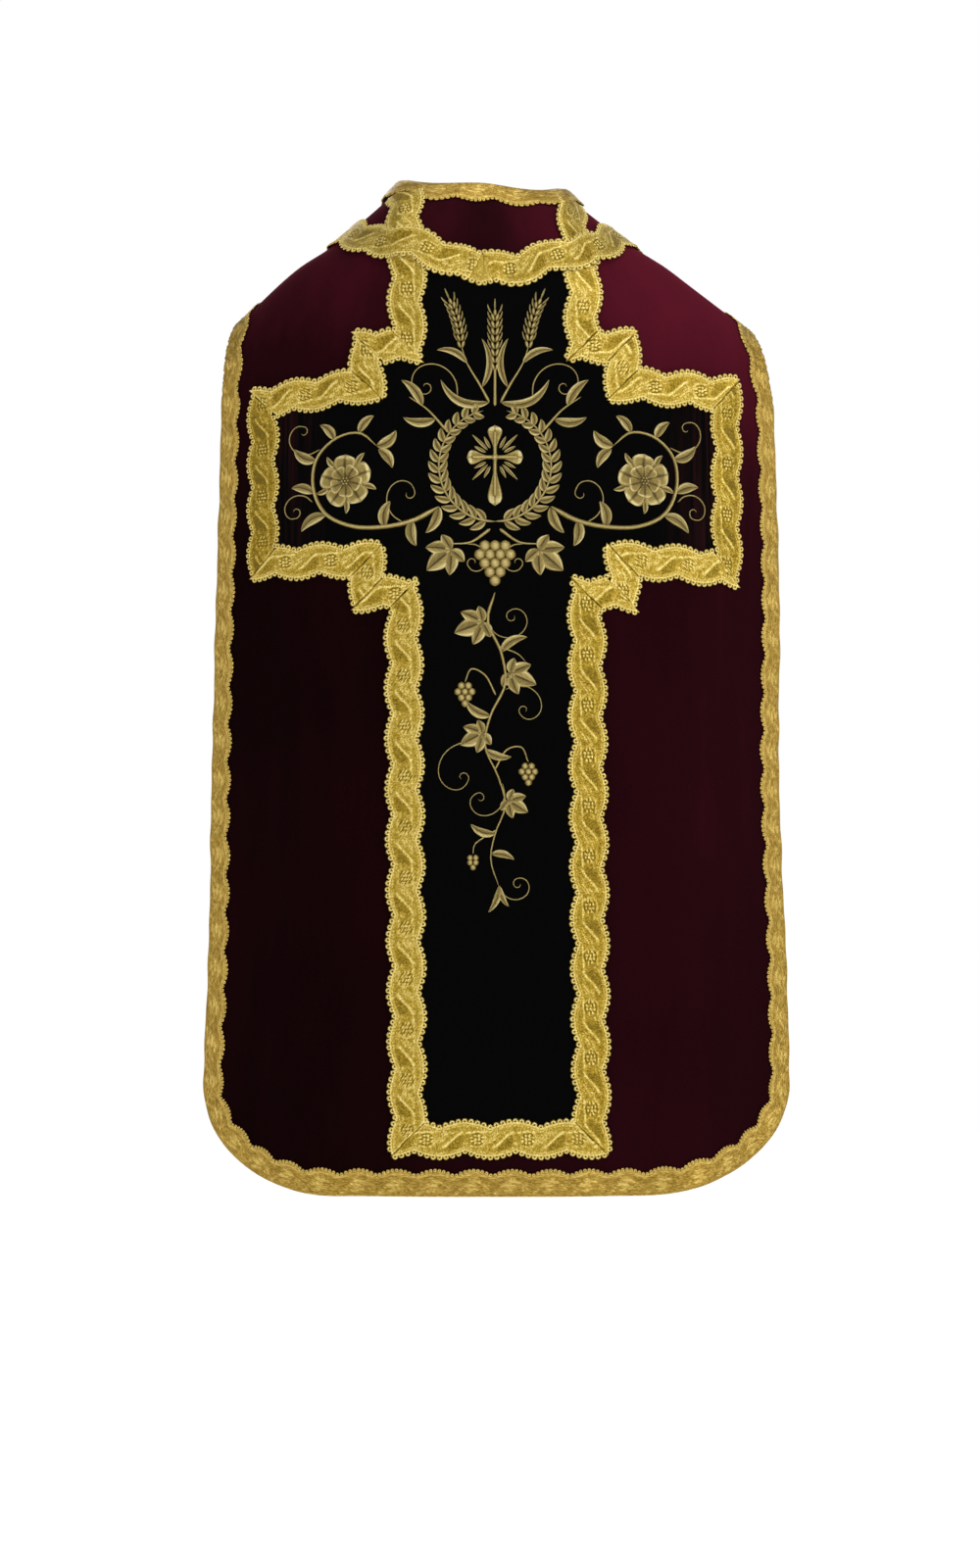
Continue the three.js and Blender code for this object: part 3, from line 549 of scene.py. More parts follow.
def dark_velvet(colours):
    """Cotton velvet dyed near black: it swallows the light. Towards the ends of the arms, where
    the cloth turns away, its colour turns wine red in upright streaks: a painted sheen."""
    material, tree = new_material("dark_cotton_velvet")
    if tree is None:
        return material
    place = add(tree, "ShaderNodeTexCoord").outputs["Object"]
    parts = add(tree, "ShaderNodeSeparateXYZ", {"Vector": place})
    side = add(tree, "ShaderNodeMath", {0: parts.outputs["X"]}, operation="ABSOLUTE")
    # Painted sheen: towards the ends of the arms the colour is mixed to wine red, in upright
    # streaks.
    painted_sheen_ends = add(
        tree, "ShaderNodeMapRange",
        {"Value": side.outputs["Value"], "From Min": 0.17, "From Max": 0.235},
        interpolation_type="SMOOTHSTEP",
    )
    upright = add(tree, "ShaderNodeMapping", {"Vector": place, "Scale": (190, 190, 4)})
    streak = add(
        tree, "ShaderNodeTexNoise",
        {"Vector": upright.outputs["Vector"], "Scale": 1.0, "Detail": 3.0},
    )
    streaks = add(
        tree, "ShaderNodeMapRange",
        {"Value": streak.outputs["Fac"], "From Min": 0.42, "From Max": 0.68},
    )
    amount = add(
        tree, "ShaderNodeMath",
        {0: painted_sheen_ends.outputs["Result"], 1: streaks.outputs["Result"]},
        operation="MULTIPLY",
    )
    colour = add(
        tree, "ShaderNodeMix",
        {"Factor": amount.outputs["Value"], "A": colours.dark, "B": colours.dark_painted_sheen},
        data_type="RGBA",
    )
    tufts = add(
        tree, "ShaderNodeTexNoise", {"Vector": place, "Scale": TUFTS_PER_METRE, "Detail": 2.0}
    )
    bump = add(
        tree, "ShaderNodeBump",
        {"Height": tufts.outputs["Fac"], "Strength": 0.3, "Distance": 0.0005},
    )
    shader = add(
        tree, "ShaderNodeBsdfPrincipled",
        {
            "Base Color": colour.outputs["Result"],
            "Roughness": 0.95,
            "Specular IOR Level": 0.03,
            "Sheen Weight": 0.015,
            "Sheen Roughness": 0.4,
            "Normal": bump.outputs["Normal"],
        },
    )
    add(tree, "ShaderNodeOutputMaterial", {"Surface": shader.outputs["BSDF"]})
    return material


def metal_web(name, low, middle, high, glint_mm, roughness):
    """Galloon woven of flat metal strip on a silk core: a satin ground with raised, brighter
    figures, and a glitter of single threads that each face their own way. A glint has a
    size along and across the tape."""
    material, tree = new_material(name)
    if tree is None:
        return material
    web = add(tree, "ShaderNodeUVMap", uv_map="UVMap").outputs["UV"]
    # raised is the woven figure's tone, and in places painted light and shade: the loops' lit
    # tops, the mitres' folds and creases, and runs that turn from the light.
    raised = add(tree, "ShaderNodeAttribute", attribute_name="raised").outputs["Fac"]
    # The web's UV is in metres. Threads are 0.3 mm and are drawn at a size that shows.
    along_mm, across_mm = glint_mm
    per_metre = (1 / (along_mm * MM), 1 / (across_mm * MM), 1)
    weft = add(tree, "ShaderNodeMapping", {"Vector": web, "Scale": per_metre})
    strips = add(
        tree, "ShaderNodeTexVoronoi", {"Vector": weft.outputs["Vector"], "Scale": 1.0},
        voronoi_dimensions="2D",
    )
    glint = add(tree, "ShaderNodeSeparateColor", {"Color": strips.outputs["Color"]})
    mottle = add(tree, "ShaderNodeTexNoise", {"Vector": web, "Scale": 160.0, "Detail": 3.0})
    shade = add(
        tree, "ShaderNodeMath",
        {0: glint.outputs["Red"], 1: 0.42, 2: raised},
        operation="MULTIPLY_ADD",
    )
    blend = add(
        tree, "ShaderNodeMath",
        {0: mottle.outputs["Fac"], 1: 0.2, 2: shade.outputs["Value"]},
        operation="MULTIPLY_ADD",
    )
    ramp = add(tree, "ShaderNodeValToRGB", {"Fac": blend.outputs["Value"]})
    ramp.color_ramp.elements[0].position = 0.12
    ramp.color_ramp.elements[0].color = low
    ramp.color_ramp.elements[1].position = 0.94
    ramp.color_ramp.elements[1].color = high
    step = ramp.color_ramp.elements.new(0.48)
    step.color = middle
    height = add(
        tree, "ShaderNodeMath",
        {0: strips.outputs["Distance"], 1: -1.0, 2: glint.outputs["Green"]},
        operation="MULTIPLY_ADD",
    )
    bump = add(
        tree, "ShaderNodeBump",
        {"Height": height.outputs["Value"], "Strength": 0.7, "Distance": 0.0004},
    )
    shader = add(
        tree, "ShaderNodeBsdfPrincipled",
        {
            "Base Color": ramp.outputs["Color"],
            "Metallic": 0.72,
            "Specular IOR Level": 0.2,
            "Roughness": roughness,
            "Normal": bump.outputs["Normal"],
        },
    )
    add(tree, "ShaderNodeOutputMaterial", {"Surface": shader.outputs["BSDF"]})
    return material


def bright_galloon(colours):
    """The wide galloon's web: bright gold, with glints that lie across the tape."""
    return metal_web(
        "gold_galloon_web", colours.gold_ground, colours.gold, colours.gold_light, (0.8, 1.5), 0.4
    )


def old_galloon(colours):
    """The binding's web: duller gold, with long glints that run with the tape."""
    return metal_web(
        "old_gold_binding_web",
        colours.old_gold_ground,
        colours.old_gold,
        colours.old_gold_light,
        (2.6, 0.75),
        0.46,
    )


def gold_thread(colours, thread):
    """Passing thread, metal wound on silk, laid side by side in satin stitch: a muted old
    gold whose ridges run with each thread."""
    material, tree = new_material("laid_gold_thread")
    if tree is None:
        return material
    web = add(tree, "ShaderNodeUVMap", uv_map="UVMap").outputs["UV"]
    # raised holds painted light and shade of the padded stitches: lighter tops and edges, darker
    # grooves, sides and feet.
    raised = add(tree, "ShaderNodeAttribute", attribute_name="raised").outputs["Fac"]
    # A thread is drawn over eight times as long as it is wide.
    per_thread = (1 / thread, 0.12 / thread, 1)
    rows = add(tree, "ShaderNodeMapping", {"Vector": web, "Scale": per_thread})
    laid = add(
        tree, "ShaderNodeTexWave",
        {"Vector": rows.outputs["Vector"], "Scale": 0.5, "Distortion": 0.6},
        bands_direction="X",
    )
    single = add(
        tree, "ShaderNodeTexNoise", {"Vector": rows.outputs["Vector"], "Scale": 0.9, "Detail": 2.0}
    )
    shade = add(
        tree, "ShaderNodeMath",
        {0: single.outputs["Fac"], 1: 0.4, 2: raised},
        operation="MULTIPLY_ADD",
    )
    ramp = add(tree, "ShaderNodeValToRGB", {"Fac": shade.outputs["Value"]})
    ramp.color_ramp.elements[0].position = 0.18
    ramp.color_ramp.elements[0].color = colours.thread_shade
    ramp.color_ramp.elements[1].position = 1.0
    ramp.color_ramp.elements[1].color = colours.thread_light
    middle = ramp.color_ramp.elements.new(0.58)
    middle.color = colours.thread
    bump = add(
        tree, "ShaderNodeBump",
        {"Height": laid.outputs["Fac"], "Strength": 0.6, "Distance": 0.0003},
    )
    shader = add(
        tree, "ShaderNodeBsdfPrincipled",
        {
            "Base Color": ramp.outputs["Color"],
            "Metallic": 0.6,
            "Roughness": 0.38,
            "Normal": bump.outputs["Normal"],
        },
    )
    add(tree, "ShaderNodeOutputMaterial", {"Surface": shader.outputs["BSDF"]})
    return material


def opal_table(colours):
    """Matt opal acrylic over a light table, lit from below, with the faint mottle of its
    cast face."""
    material, tree = new_material("opal_light_table")
    if tree is None:
        return material
    place = add(tree, "ShaderNodeTexCoord").outputs["Object"]
    mottle = add(tree, "ShaderNodeTexNoise", {"Vector": place, "Scale": 400.0, "Detail": 3.0})
    bump = add(
        tree, "ShaderNodeBump",
        {"Height": mottle.outputs["Fac"], "Strength": 0.1, "Distance": 0.0002},
    )
    shader = add(
        tree, "ShaderNodeBsdfPrincipled",
        {
            "Base Color": tuple(colours.floor),
            "Roughness": 0.95,
            "Specular IOR Level": 0.1,
            "Emission Color": tuple(colours.floor),
            "Emission Strength": 0.67,
            "Normal": bump.outputs["Normal"],
        },
    )
    add(tree, "ShaderNodeOutputMaterial", {"Surface": shader.outputs["BSDF"]})
    return material


# ---- Meshes -----------------------------------------------------------------------------
def deselect():
    bpy.ops.object.select_all(action="DESELECT")


def grid(across, along):
    """A new flat grid of that many cells, selected, with its corners' shares from 0 to 1."""
    deselect()
    bpy.ops.mesh.primitive_grid_add(x_subdivisions=across, y_subdivisions=along, size=2)
    piece = bpy.context.active_object
    corners = np.empty(len(piece.data.vertices) * 3)
    piece.data.vertices.foreach_get("co", corners)
    shares = (corners.reshape(-1, 3)[:, :2] + 1) / 2
    return piece, shares[:, 0], shares[:, 1]


def at_shares(lines, shares):
    """The place among the grid lines for each corner's share."""
    return lines[np.rint(shares * (len(lines) - 1)).astype(int)]


def write_mesh(mesh, points_mm, uv_mm, raised=None):
    """Puts a mesh's corners at points and writes its UV map and its tone as the attribute raised,
    which in places holds painted light and shade.
    """
    mesh.vertices.foreach_set("co", (points_mm * MM).astype(np.float32).ravel())
    corner = np.empty(len(mesh.loops), np.int32)
    mesh.loops.foreach_get("vertex_index", corner)
    layer = mesh.uv_layers.get("UVMap") or mesh.uv_layers.new(name="UVMap")
    layer.data.foreach_set("uv", (uv_mm[corner] * MM).astype(np.float32).ravel())
    if raised is not None:
        field = mesh.attributes.new("raised", "FLOAT", "POINT")
        field.data.foreach_set("value", raised.astype(np.float32))
    mesh.update()


class Blank:
    """The corners and faces of a small closed shape that is copied many times."""

    def __init__(self, piece):
        mesh = piece.data
        self.points = np.empty(len(mesh.vertices) * 3)
        mesh.vertices.foreach_get("co", self.points)
        self.points = self.points.reshape(-1, 3)
        self.corner = np.empty(len(mesh.loops), np.int32)
        mesh.loops.foreach_get("vertex_index", self.corner)
        self.start = np.empty(len(mesh.polygons), np.int32)
        mesh.polygons.foreach_get("loop_start", self.start)
        bpy.data.objects.remove(piece)
        bpy.data.meshes.remove(mesh)


def joined_copies(name, copies):
    """One piece from copies of blanks: each copy is (blank, points, uv, raised)."""
    mesh = bpy.data.meshes.new(name)
    corners, starts, base, loops = [], [], 0, 0
    for blank, points, _, _ in copies:
        corners.append(blank.corner + base)
        starts.append(blank.start + loops)
        base += len(points)
        loops += len(blank.corner)
    mesh.vertices.add(base)
    mesh.loops.add(loops)
    mesh.polygons.add(sum(len(start) for start in starts))
    mesh.loops.foreach_set("vertex_index", np.concatenate(corners))
    mesh.polygons.foreach_set("loop_start", np.concatenate(starts))
    points, uv, raised = (np.concatenate([copy[i] for copy in copies]) for i in (1, 2, 3))
    mesh.update(calc_edges=True)
    write_mesh(mesh, points, uv, raised)
    mesh.validate()
    piece = bpy.data.objects.new(name, mesh)
    bpy.context.scene.collection.objects.link(piece)
    return piece


def select_only(*pieces):
    deselect()
    for piece in pieces:
        piece.select_set(True)
    bpy.context.view_layer.objects.active = pieces[0]


def thicken(piece, wall, offset=0):
    """Gives a sheet its wall, half on each side or all below it, at an offset of -1."""
    select_only(piece)
    solid = piece.modifiers.new("wall", "SOLIDIFY")
    solid.thickness = wall
    solid.offset = offset
    bpy.ops.object.modifier_apply(modifier=solid.name)


def face_out(piece, outward_mm):
    """Turns a sheet so that its first face looks the way it should."""
    normal = piece.data.polygons[0].normal
    if normal.dot(Vector(outward_mm)) < 0:
        piece.data.flip_normals()


def finish(piece, name, material, nodes):
    """Names a piece, gives it its finish and hides the CAD nodes it stands for."""
    piece.name = name
    piece.data.name = name
    piece.data.materials.clear()
    piece.data.materials.append(material)
    select_only(piece)
    bpy.ops.object.shade_smooth()
    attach(piece, BODY)
    if nodes:
        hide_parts(*nodes)


# ---- Velvet panels ----------------------------------------------------------------------
def in_neck(points):
    """How far points lie out of the neck hole, seen from above: 1 is its edge."""
    x, y = points[:, 0] - NECK["x"], points[:, 1] - NECK["y"]
    along = np.where(y > 0, NECK["front"], NECK["back"])
    power = NECK["squareness"]
    return (np.abs(x / NECK["half"]) ** power + np.abs(y / along) ** power) ** (1 / power)


def shoulder_t(x, y):
    """The t of the shoulder curve at places seen from above."""
    back = y < 0
    turn = np.arcsin(np.minimum(1, np.abs(y) / depth_of(x, back))) / QUARTER
    return np.where(back, turn, -turn)


def cut_neck(piece, x, t):
    """Draws the last corners in the neck hole out to its edge, and tells which faces lie
    wholly in it."""
    points = cloth(x, t)
    reach = in_neck(points)
    inside = (reach < 1) & (points[:, 2] > BELOW_NECK)
    faces = np.array([face.vertices[:] for face in piece.data.polygons])
    whole = inside[faces].all(axis=1)
    edge = np.unique(faces[~whole][inside[faces[~whole]]])
    centre = np.array([NECK["x"], NECK["y"]])
    spots = centre + (points[edge, :2] - centre) / reach[edge, None]
    x[edge] = spots[:, 0]
    t[edge] = shoulder_t(spots[:, 0], spots[:, 1])
    return whole


def remove_faces(piece, gone):
    """Deletes the faces that are marked as gone."""
    select_only(piece)
    bpy.ops.object.mode_set(mode="EDIT")
    bpy.ops.mesh.select_mode(type="FACE")
    bpy.ops.mesh.select_all(action="DESELECT")
    bpy.ops.object.mode_set(mode="OBJECT")
    piece.data.polygons.foreach_set("select", gone)
    bpy.ops.object.mode_set(mode="EDIT")
    bpy.ops.mesh.delete(type="FACE")
    bpy.ops.object.mode_set(mode="OBJECT")


def cut_size(points, columns, rows):
    """Longest row, longest column and area of a laid grid, in metres."""
    net = points.reshape(rows + 1, columns + 1, 3) * MM
    widths = np.linalg.norm(np.diff(net, axis=1), axis=2).sum(axis=1)
    lengths = np.linalg.norm(np.diff(net, axis=0), axis=2).sum(axis=0)
    a, b = net[1:, 1:] - net[:-1, :-1], net[1:, :-1] - net[:-1, 1:]
    area = np.linalg.norm(np.cross(a, b), axis=2).sum() / 2
    return widths.max(), lengths.max(), area


# Rows crowd where the cloth bends over the shoulder: (share of the rows, row).
BACK_ROWS = [(0, SEAM_T), (0.08, 0), (0.3, 1), (1, 2)]
FRONT_ROWS = [(0, 0.284), (0.24, 1), (1, 2)]
# Area of the neck hole: that of its ellipse, and 1.12 times as much for its squareness.
BELOW_NECK = -140  # cloth lower than this isn't in the neck hole, wherever it lies


def hang_panel(context, side, place, rows_table, columns, rows):
    """One velvet panel laid over the shoulders, with its share of the neck hole cut out."""
    piece, across, along = grid(columns, rows)
    row = np.interp(along, *zip(*rows_table))
    x, t = place(across * 2 - 1, row)
    points = draped(x, t, np.zeros_like(x))
    width, length, area = cut_size(points, columns, rows)
    whole = cut_neck(piece, x, t)
    points = draped(x, t, np.zeros_like(x))
    uv = np.stack([across * width / MM, along * length / MM], -1)
    write_mesh(piece.data, points, uv)
    face_out(piece, outward(x[:1], t[:1])[0])
    remove_faces(piece, whole)
    thicken(piece, VELVET_WALL * MM)
    velvet = wine_velvet(context.scene.chasuble_colours)
    finish(piece, "velvet_" + side, velvet, [side + "_panel"])


class CHASUBLE_OT_back(Operator):
    """Lay the wide back of wine-red velvet over the shoulders"""

    bl_idname = "chasuble.back"
    bl_label = "Velvet Back"

    def execute(self, context):
        hang_panel(context, "back", back_place, BACK_ROWS, 88, 168)
        return {"FINISHED"}


class CHASUBLE_OT_front(Operator):
    """Lay the fiddle-shaped front of wine-red velvet before the chest"""

    bl_idname = "chasuble.front"
    bl_label = "Velvet Front"

    def execute(self, context):
        hang_panel(context, "front", front_place, FRONT_ROWS, 62, 118)
        return {"FINISHED"}


def spaced(places, cell):
    """Grid lines through the given places, with cells of about one size between them."""
    lines = [places[0]]
    for a, b in zip(places, places[1:]):
        cells = max(1, round(abs(b - a) / cell))
        lines += [mix(a, b, (i + 1) / cells) for i in range(cells)]
    return np.array(lines)


CROSS_TOP = -74  # its upper edge, hidden under the shoulder band
CROSS_PILLAR = 96  # half the width of its pillar, whose edges the galloon hides
CROSS_CELL = 7
# The cross from the top down: (top, foot, half its width).
CROSS_TIERS = [
    (CROSS_TOP, STEP_TOP, CROSS_PILLAR), (STEP_TOP, ARM_TOP, STEP), (ARM_TOP, ARM_FOOT, ARM),
    (ARM_FOOT, STEP_FOOT, STEP), (STEP_FOOT, FOOT, CROSS_PILLAR),
]


class CHASUBLE_OT_cross(Operator):
    """Lay the stepped cross of dark velvet on the back"""

    bl_idname = "chasuble.cross"
    bl_label = "Dark Velvet Cross"

    def execute(self, context):
        flats = spaced([-ARM, -STEP, -CROSS_PILLAR, CROSS_PILLAR, STEP, ARM], CROSS_CELL)
        heights = spaced([CROSS_TOP] + [foot for _, foot, _ in CROSS_TIERS], CROSS_CELL)
        piece, across, along = grid(len(flats) - 1, len(heights) - 1)
        flat = at_shares(flats, across)
        height = at_shares(heights, along)
        faces = np.array([face.vertices[:] for face in piece.data.polygons])
        mid_flat, mid_height = np.abs(flat[faces].mean(axis=1)), height[faces].mean(axis=1)
        half = np.select(
            [mid_height > foot for _, foot, _ in CROSS_TIERS],
            [half for _, _, half in CROSS_TIERS],
        )
        x, t = cross_place(flat, height)
        points = draped(x, t, np.full_like(x, CROSS_MIDDLE))
        write_mesh(piece.data, points, np.stack([flat, height], -1))
        face_out(piece, outward(x[:1], t[:1])[0])
        remove_faces(piece, mid_flat > half)
        thicken(piece, CROSS_WALL * MM)
        colours = context.scene.chasuble_colours
        finish(piece, "velvet_cross", dark_velvet(colours), ["cross_panel"])
        return {"FINISHED"}


# ---- Routes for tapes -------------------------------------------------------------------
class StraightRun:
    """A straight run of galloon on the flat cross between two mitred corners."""

    gap = 0.02  # left open between two mitred ends
    # Beside a mitre: the fold's distance and half its width, half the width of the crease,
    # and how far the woven figure is pressed flat.
    fold_at, fold_half, crease_half, pressed = 1.7, 1.0, 0.7, 2.5

    def __init__(self, start, end, start_mitre, end_mitre):
        self.start = np.array(start, float)
        self.length = float(np.linalg.norm(np.subtract(end, start)))
        self.along = np.subtract(end, start) / self.length
        self.side = np.array([-self.along[1], self.along[0]])
        self.start_skew = float(np.dot(start_mitre, self.along))
        self.end_skew = float(np.dot(end_mitre, self.along))

    def ends(self, v):
        """Where the run starts and ends at a distance v beside its centre line."""
        return v * self.start_skew, self.length + v * self.end_skew

    def folds(self, s, v, first, last, half):
        """How much a place is raised, creased and flattened beside the mitred ends."""
        away = np.minimum(s - first, last - s)
        fold, crease = ridge(away - self.fold_at, self.fold_half), ridge(away, self.crease_half)
        return fold, crease, 1 - smooth_step(away / self.pressed)

    def point(self, s, v, lift):
        """Points at s along the run and v beside its centre line, above the cloth by a lift."""
        spot = self.start + s[:, None] * self.along + v[:, None] * self.side
        x, t = cross_place(spot[:, 0], spot[:, 1])
        return draped(x, t, lift)


class CurvedRun:
    """A run along a line of places (x, t) on the cloth. Its s counts from begin. Over says
    what it is laid over, the cloth's edge or the strips under the band; skew slants its
    start, and sign is the side of a length that is joined at the middle of the back."""

    gap = 0.0
    # The join: its distance at the centre line, how much nearer or further it is at an edge,
    # and what a mitre has.
    join_at, join_slant = 7, 6.5
    fold_at, fold_half, crease_half, pressed = 1.5, 1.0, 0.9, 2
    aim_reach = 2  # a direction is taken from places this far before and after
    level_reach = 26  # near its joined ends a length runs level

    def __init__(self, x, t, begin=0.0, end=None, over=None, closed=False, skew=0.0, sign=0):
        self.x, self.t, self.closed = x, t, closed
        self.skew, self.sign = skew, sign
        steps = np.linalg.norm(np.diff(cloth(x, t), axis=0), axis=1)
        self.measure = np.concatenate([[0], np.cumsum(steps)])
        self.begin = begin
        self.length = (self.measure[-1] if end is None else end) - begin
        self.over = over

    def ends(self, v):
        return v * self.skew, np.full_like(v, self.length)

    def folds(self, s, v, first, last, half):
        """How much a place is raised, creased and flattened beside the band's back join,
        where the two lengths are folded under to a narrow V."""
        if not self.sign:
            return 0 * s, 0 * s, 0 * s
        away = s - (self.join_at - self.join_slant * self.sign * v / half)
        fold, crease = ridge(away - self.fold_at, self.fold_half), ridge(away, self.crease_half)
        return fold, crease, 1 - smooth_step(away / self.pressed)

    def place(self, s):
        """x and t of the line at s from its first place."""
        if self.closed:
            s = np.mod(s, self.measure[-1])
        return np.interp(s, self.measure, self.x), np.interp(s, self.measure, self.t)

    def point(self, s, v, lift):
        s = s + self.begin
        x, t = self.place(s)
        low, high = s - self.aim_reach, s + self.aim_reach
        if not self.closed:
            low, high = np.maximum(low, 0), np.minimum(high, self.measure[-1])
        along = unit(cloth(*self.place(high)) - cloth(*self.place(low)))
        if self.sign:
            away = np.minimum(s - self.begin, self.begin + self.length - s)
            level = smooth_step(away / self.level_reach)
            along = unit(along * np.stack([np.ones_like(level), level, level], -1))
        side = unit(np.cross(outward(x, t), along))
        inner = np.maximum(v, 0) if self.over == "edge" else v
        spot = cloth(x, t) + side * inner[:, None]
        spot_x, spot_t = spot[:, 0], t_near(spot)
        if self.over == "band":
            lift = lift + UNDER_BAND * over_pillars(spot_x, spot_t)
        points = draped(spot_x, spot_t, lift)
        return points + side * (v - inner)[:, None]


def over_pillars(x, t):
    """From 0 to 1 as the band climbs over a tape beside the middle of the back."""
    middle, half, first_t = PILLAR_TOP - 2, 30, 0.25
    return np.where(t > first_t, np.exp(-(((np.abs(x) - middle) / half) ** 4)), 0.0)


def centripetal(rows, count, stretch=100):
    """A smooth line through rows of (x, t), with t stretched as the cloth is."""
    points = np.array([(x, t * stretch) for x, t in rows], float)
    ends = [2 * points[0] - points[1], 2 * points[-1] - points[-2]]
    points = np.vstack([ends[0], points, ends[1]])
    out = []
    for i in range(1, len(points) - 2):
        p0, p1, p2, p3 = points[i - 1 : i + 3]
        d0, d1, d2 = (math.sqrt(np.linalg.norm(b - a)) for a, b in ((p0, p1), (p1, p2), (p2, p3)))
        m1 = ((p1 - p0) / d0 - (p2 - p0) / (d0 + d1) + (p2 - p1) / d1) * d1
        m2 = ((p2 - p1) / d1 - (p3 - p1) / (d1 + d2) + (p3 - p2) / d2) * d1
        f = np.linspace(0, 1, count, endpoint=False)[:, None]
        out.append(hermite(f, p1, m1, p2, m2))
    line = np.vstack(out + [points[-2][None]])
    return line[:, 0], line[:, 1] / stretch


# ---- Galloon ----------------------------------------------------------------------------
def ridge(distance, half):
    """A rounded ridge of height 1, about half as wide as given on each side."""
    return np.exp(-((distance / half) ** 2))


def smooth_step(share):
    """From 0 to 1 without a corner at either end."""
    share = np.clip(share, 0, 1)
    return share * share * (3 - 2 * share)


def fraction(p):
    return p - np.floor(p)


def repeats_from(p, mark):
    """How many repeats a place lies from the nearest mark at that share of the repeat."""
    return fraction(p - mark + 0.5) - 0.5


def scalloped(p, scallop):
    """How far a scalloped edge swings out at a place of the repeat, most in its middle."""
    return scallop * (2 * np.abs(np.sin(math.pi * p)) - 1)


def galloon_edges(p, half, scallop):
    """Where the low and the high edge lie at a place of the repeat."""
    return -(half + scalloped(p + 0.5, scallop)), half + scalloped(p, scallop)


def woven_bars(rise, bars, p, v, height, half, fade):
    """Raises short bars along the tape to a height: (v, first and last share of the repeat)."""
    for bar_v, first, last in bars:
        away = np.abs(repeats_from(p, (first + last) / 2))
        bar = smooth_step(((last - first) / 2 - away) / fade + 0.5) * ridge(v - bar_v, half)
        rise = np.maximum(rise, height * bar)
    return rise


def woven_dots(rise, dots, v, ds, height, half_v, half_s):
    """Raises round dots to a height: (v, distance along the tape), from their middle."""
    for dot_v, dot_s in dots:
        dot = ((v - dot_v) / half_v) ** 2 + ((ds - dot_s) / half_s) ** 2
        rise = np.maximum(rise, height * np.clip(1 - dot, 0, 1) ** 0.5)
    return rise


ROSETTE_AT = 0.74  # its middle, as a share of the repeat
# Ten dots in four rows along the tape.
ROSETTE_DOTS = [
    (v, s)
    for s, row in ((-5.7, (-1.9, 1.9)), (-1.9, (-3.8, 0, 3.8)),
                   (1.9, (-3.8, 0, 3.8)), (5.7, (-1.9, 1.9)))
    for v in row
]
# Short bars woven along the tape: (v, first and last share of the repeat).
GALLOON_BARS = [
    (-3.6, -0.06, 0.06), (-1.0, -0.04, 0.1), (1.7, -0.02, 0.13), (4.4, 0.0, 0.17),
    (7.0, 0.08, 0.3), (-7.4, 0.58, 0.86), (-4.8, 0.4, 0.55),
]


BEAD_PITCH = 3.4


def galloon_relief(p, v, repeat, low, high):
    """Height of the woven figure above the satin ground, from 0 to 1, and its tone. Lengths
    are in mm, and places along the tape are shares of the repeat."""
    phase = fraction(p)
    # A cord inside each edge, and a row of beads inside that.
    rise = 0.7 * (ridge(v - low - 1.3, 0.75) + ridge(high - v - 1.3, 0.75))
    beads = 0.6 + 0.4 * np.cos(2 * math.pi * p * round(repeat / BEAD_PITCH))
    rise = rise + 0.6 * beads * (ridge(v - low - 3.9, 0.8) + ridge(high - v - 3.9, 0.8))
    # A rib that slants from the low side to the high one and then runs on along the tape.
    rib_v = mix(-8.5, 7.0, smooth_step((phase - 0.03) / 0.43))
    rib_v = rib_v + smooth_step((phase - 0.5) / 0.4)
    on_rib = smooth_step(phase / 0.04) * smooth_step((0.98 - phase) / 0.04)
    slope = 1 + 0.9 * ((phase > 0.05) & (phase < 0.45))
    rise = np.maximum(rise, 0.85 * on_rib * ridge(v - rib_v, 0.7 * slope))
    # A smooth pocket beside the slanting part.
    pocket = smooth_step((rib_v - v - 1.0) / 1.5) * smooth_step((phase - 0.1) / 0.08)
    pocket = pocket * smooth_step((0.5 - phase) / 0.08) * smooth_step((v - low - 4.6) / 1.2)
    rise = woven_bars(rise, GALLOON_BARS, p, v, 0.6, 0.8, 0.03)
    # The rosette, with an arc round it and a dark ground between its dots.
    ds = repeats_from(p, ROSETTE_AT) * repeat
    rise = woven_dots(rise, ROSETTE_DOTS, v, ds, 1, 1.6, 1.7)
    arc = smooth_step((ds + 0.7 * v + 4) / 4)
    rise = np.maximum(rise, 0.5 * arc * ridge(np.hypot(v, ds / 1.12) - 8.2, 0.9))
    rise = np.clip(rise, 0, 1) * (1 - 0.75 * pocket)
    heart = smooth_step((8 - np.hypot(v, ds)) / 1.5)
    tone = 0.1 + 0.62 * rise - 0.16 * pocket - 0.38 * heart * (1 - rise)
    return rise, tone


# An edge loop: the radius of its centre line, its thread's half thickness over that radius,
# how high it stands over the same, and how far its middle lies outside the tape's edge.
PICOT_LOOP = {"radius": 1.95, "thread": 0.75, "height": 1.3, "out": 0.5}
PICOT_LIFT = 0.2  # above the middle of the tape
RELIEF = 0.7  # height of the woven figure
# A mitre's fold and crease: how far they rise or sink, and how much painted light the fold and
# painted shade the crease get. Pressed flat, the web has a plain tone.
FOLD_RISE, CREASE_DEPTH = 0.5, 0.3
FOLD_PAINTED_LIGHT, CREASE_PAINTED_SHADE, PLAIN_TONE = 0.2, 0.26, 0.2


def loop_reach(loop):
    """How far an edge loop reaches beyond the tape's edge, in mm."""
    return loop["out"] + loop["radius"] * (1 + loop["thread"])


def picot_blank(turns, rounds, loop):
    """One woven edge loop: a small ring lying flat."""
    deselect()
    bpy.ops.mesh.primitive_torus_add(
        major_segments=turns, minor_segments=rounds, major_radius=1.0, minor_radius=loop["thread"]
    )
    return Blank(bpy.context.active_object)


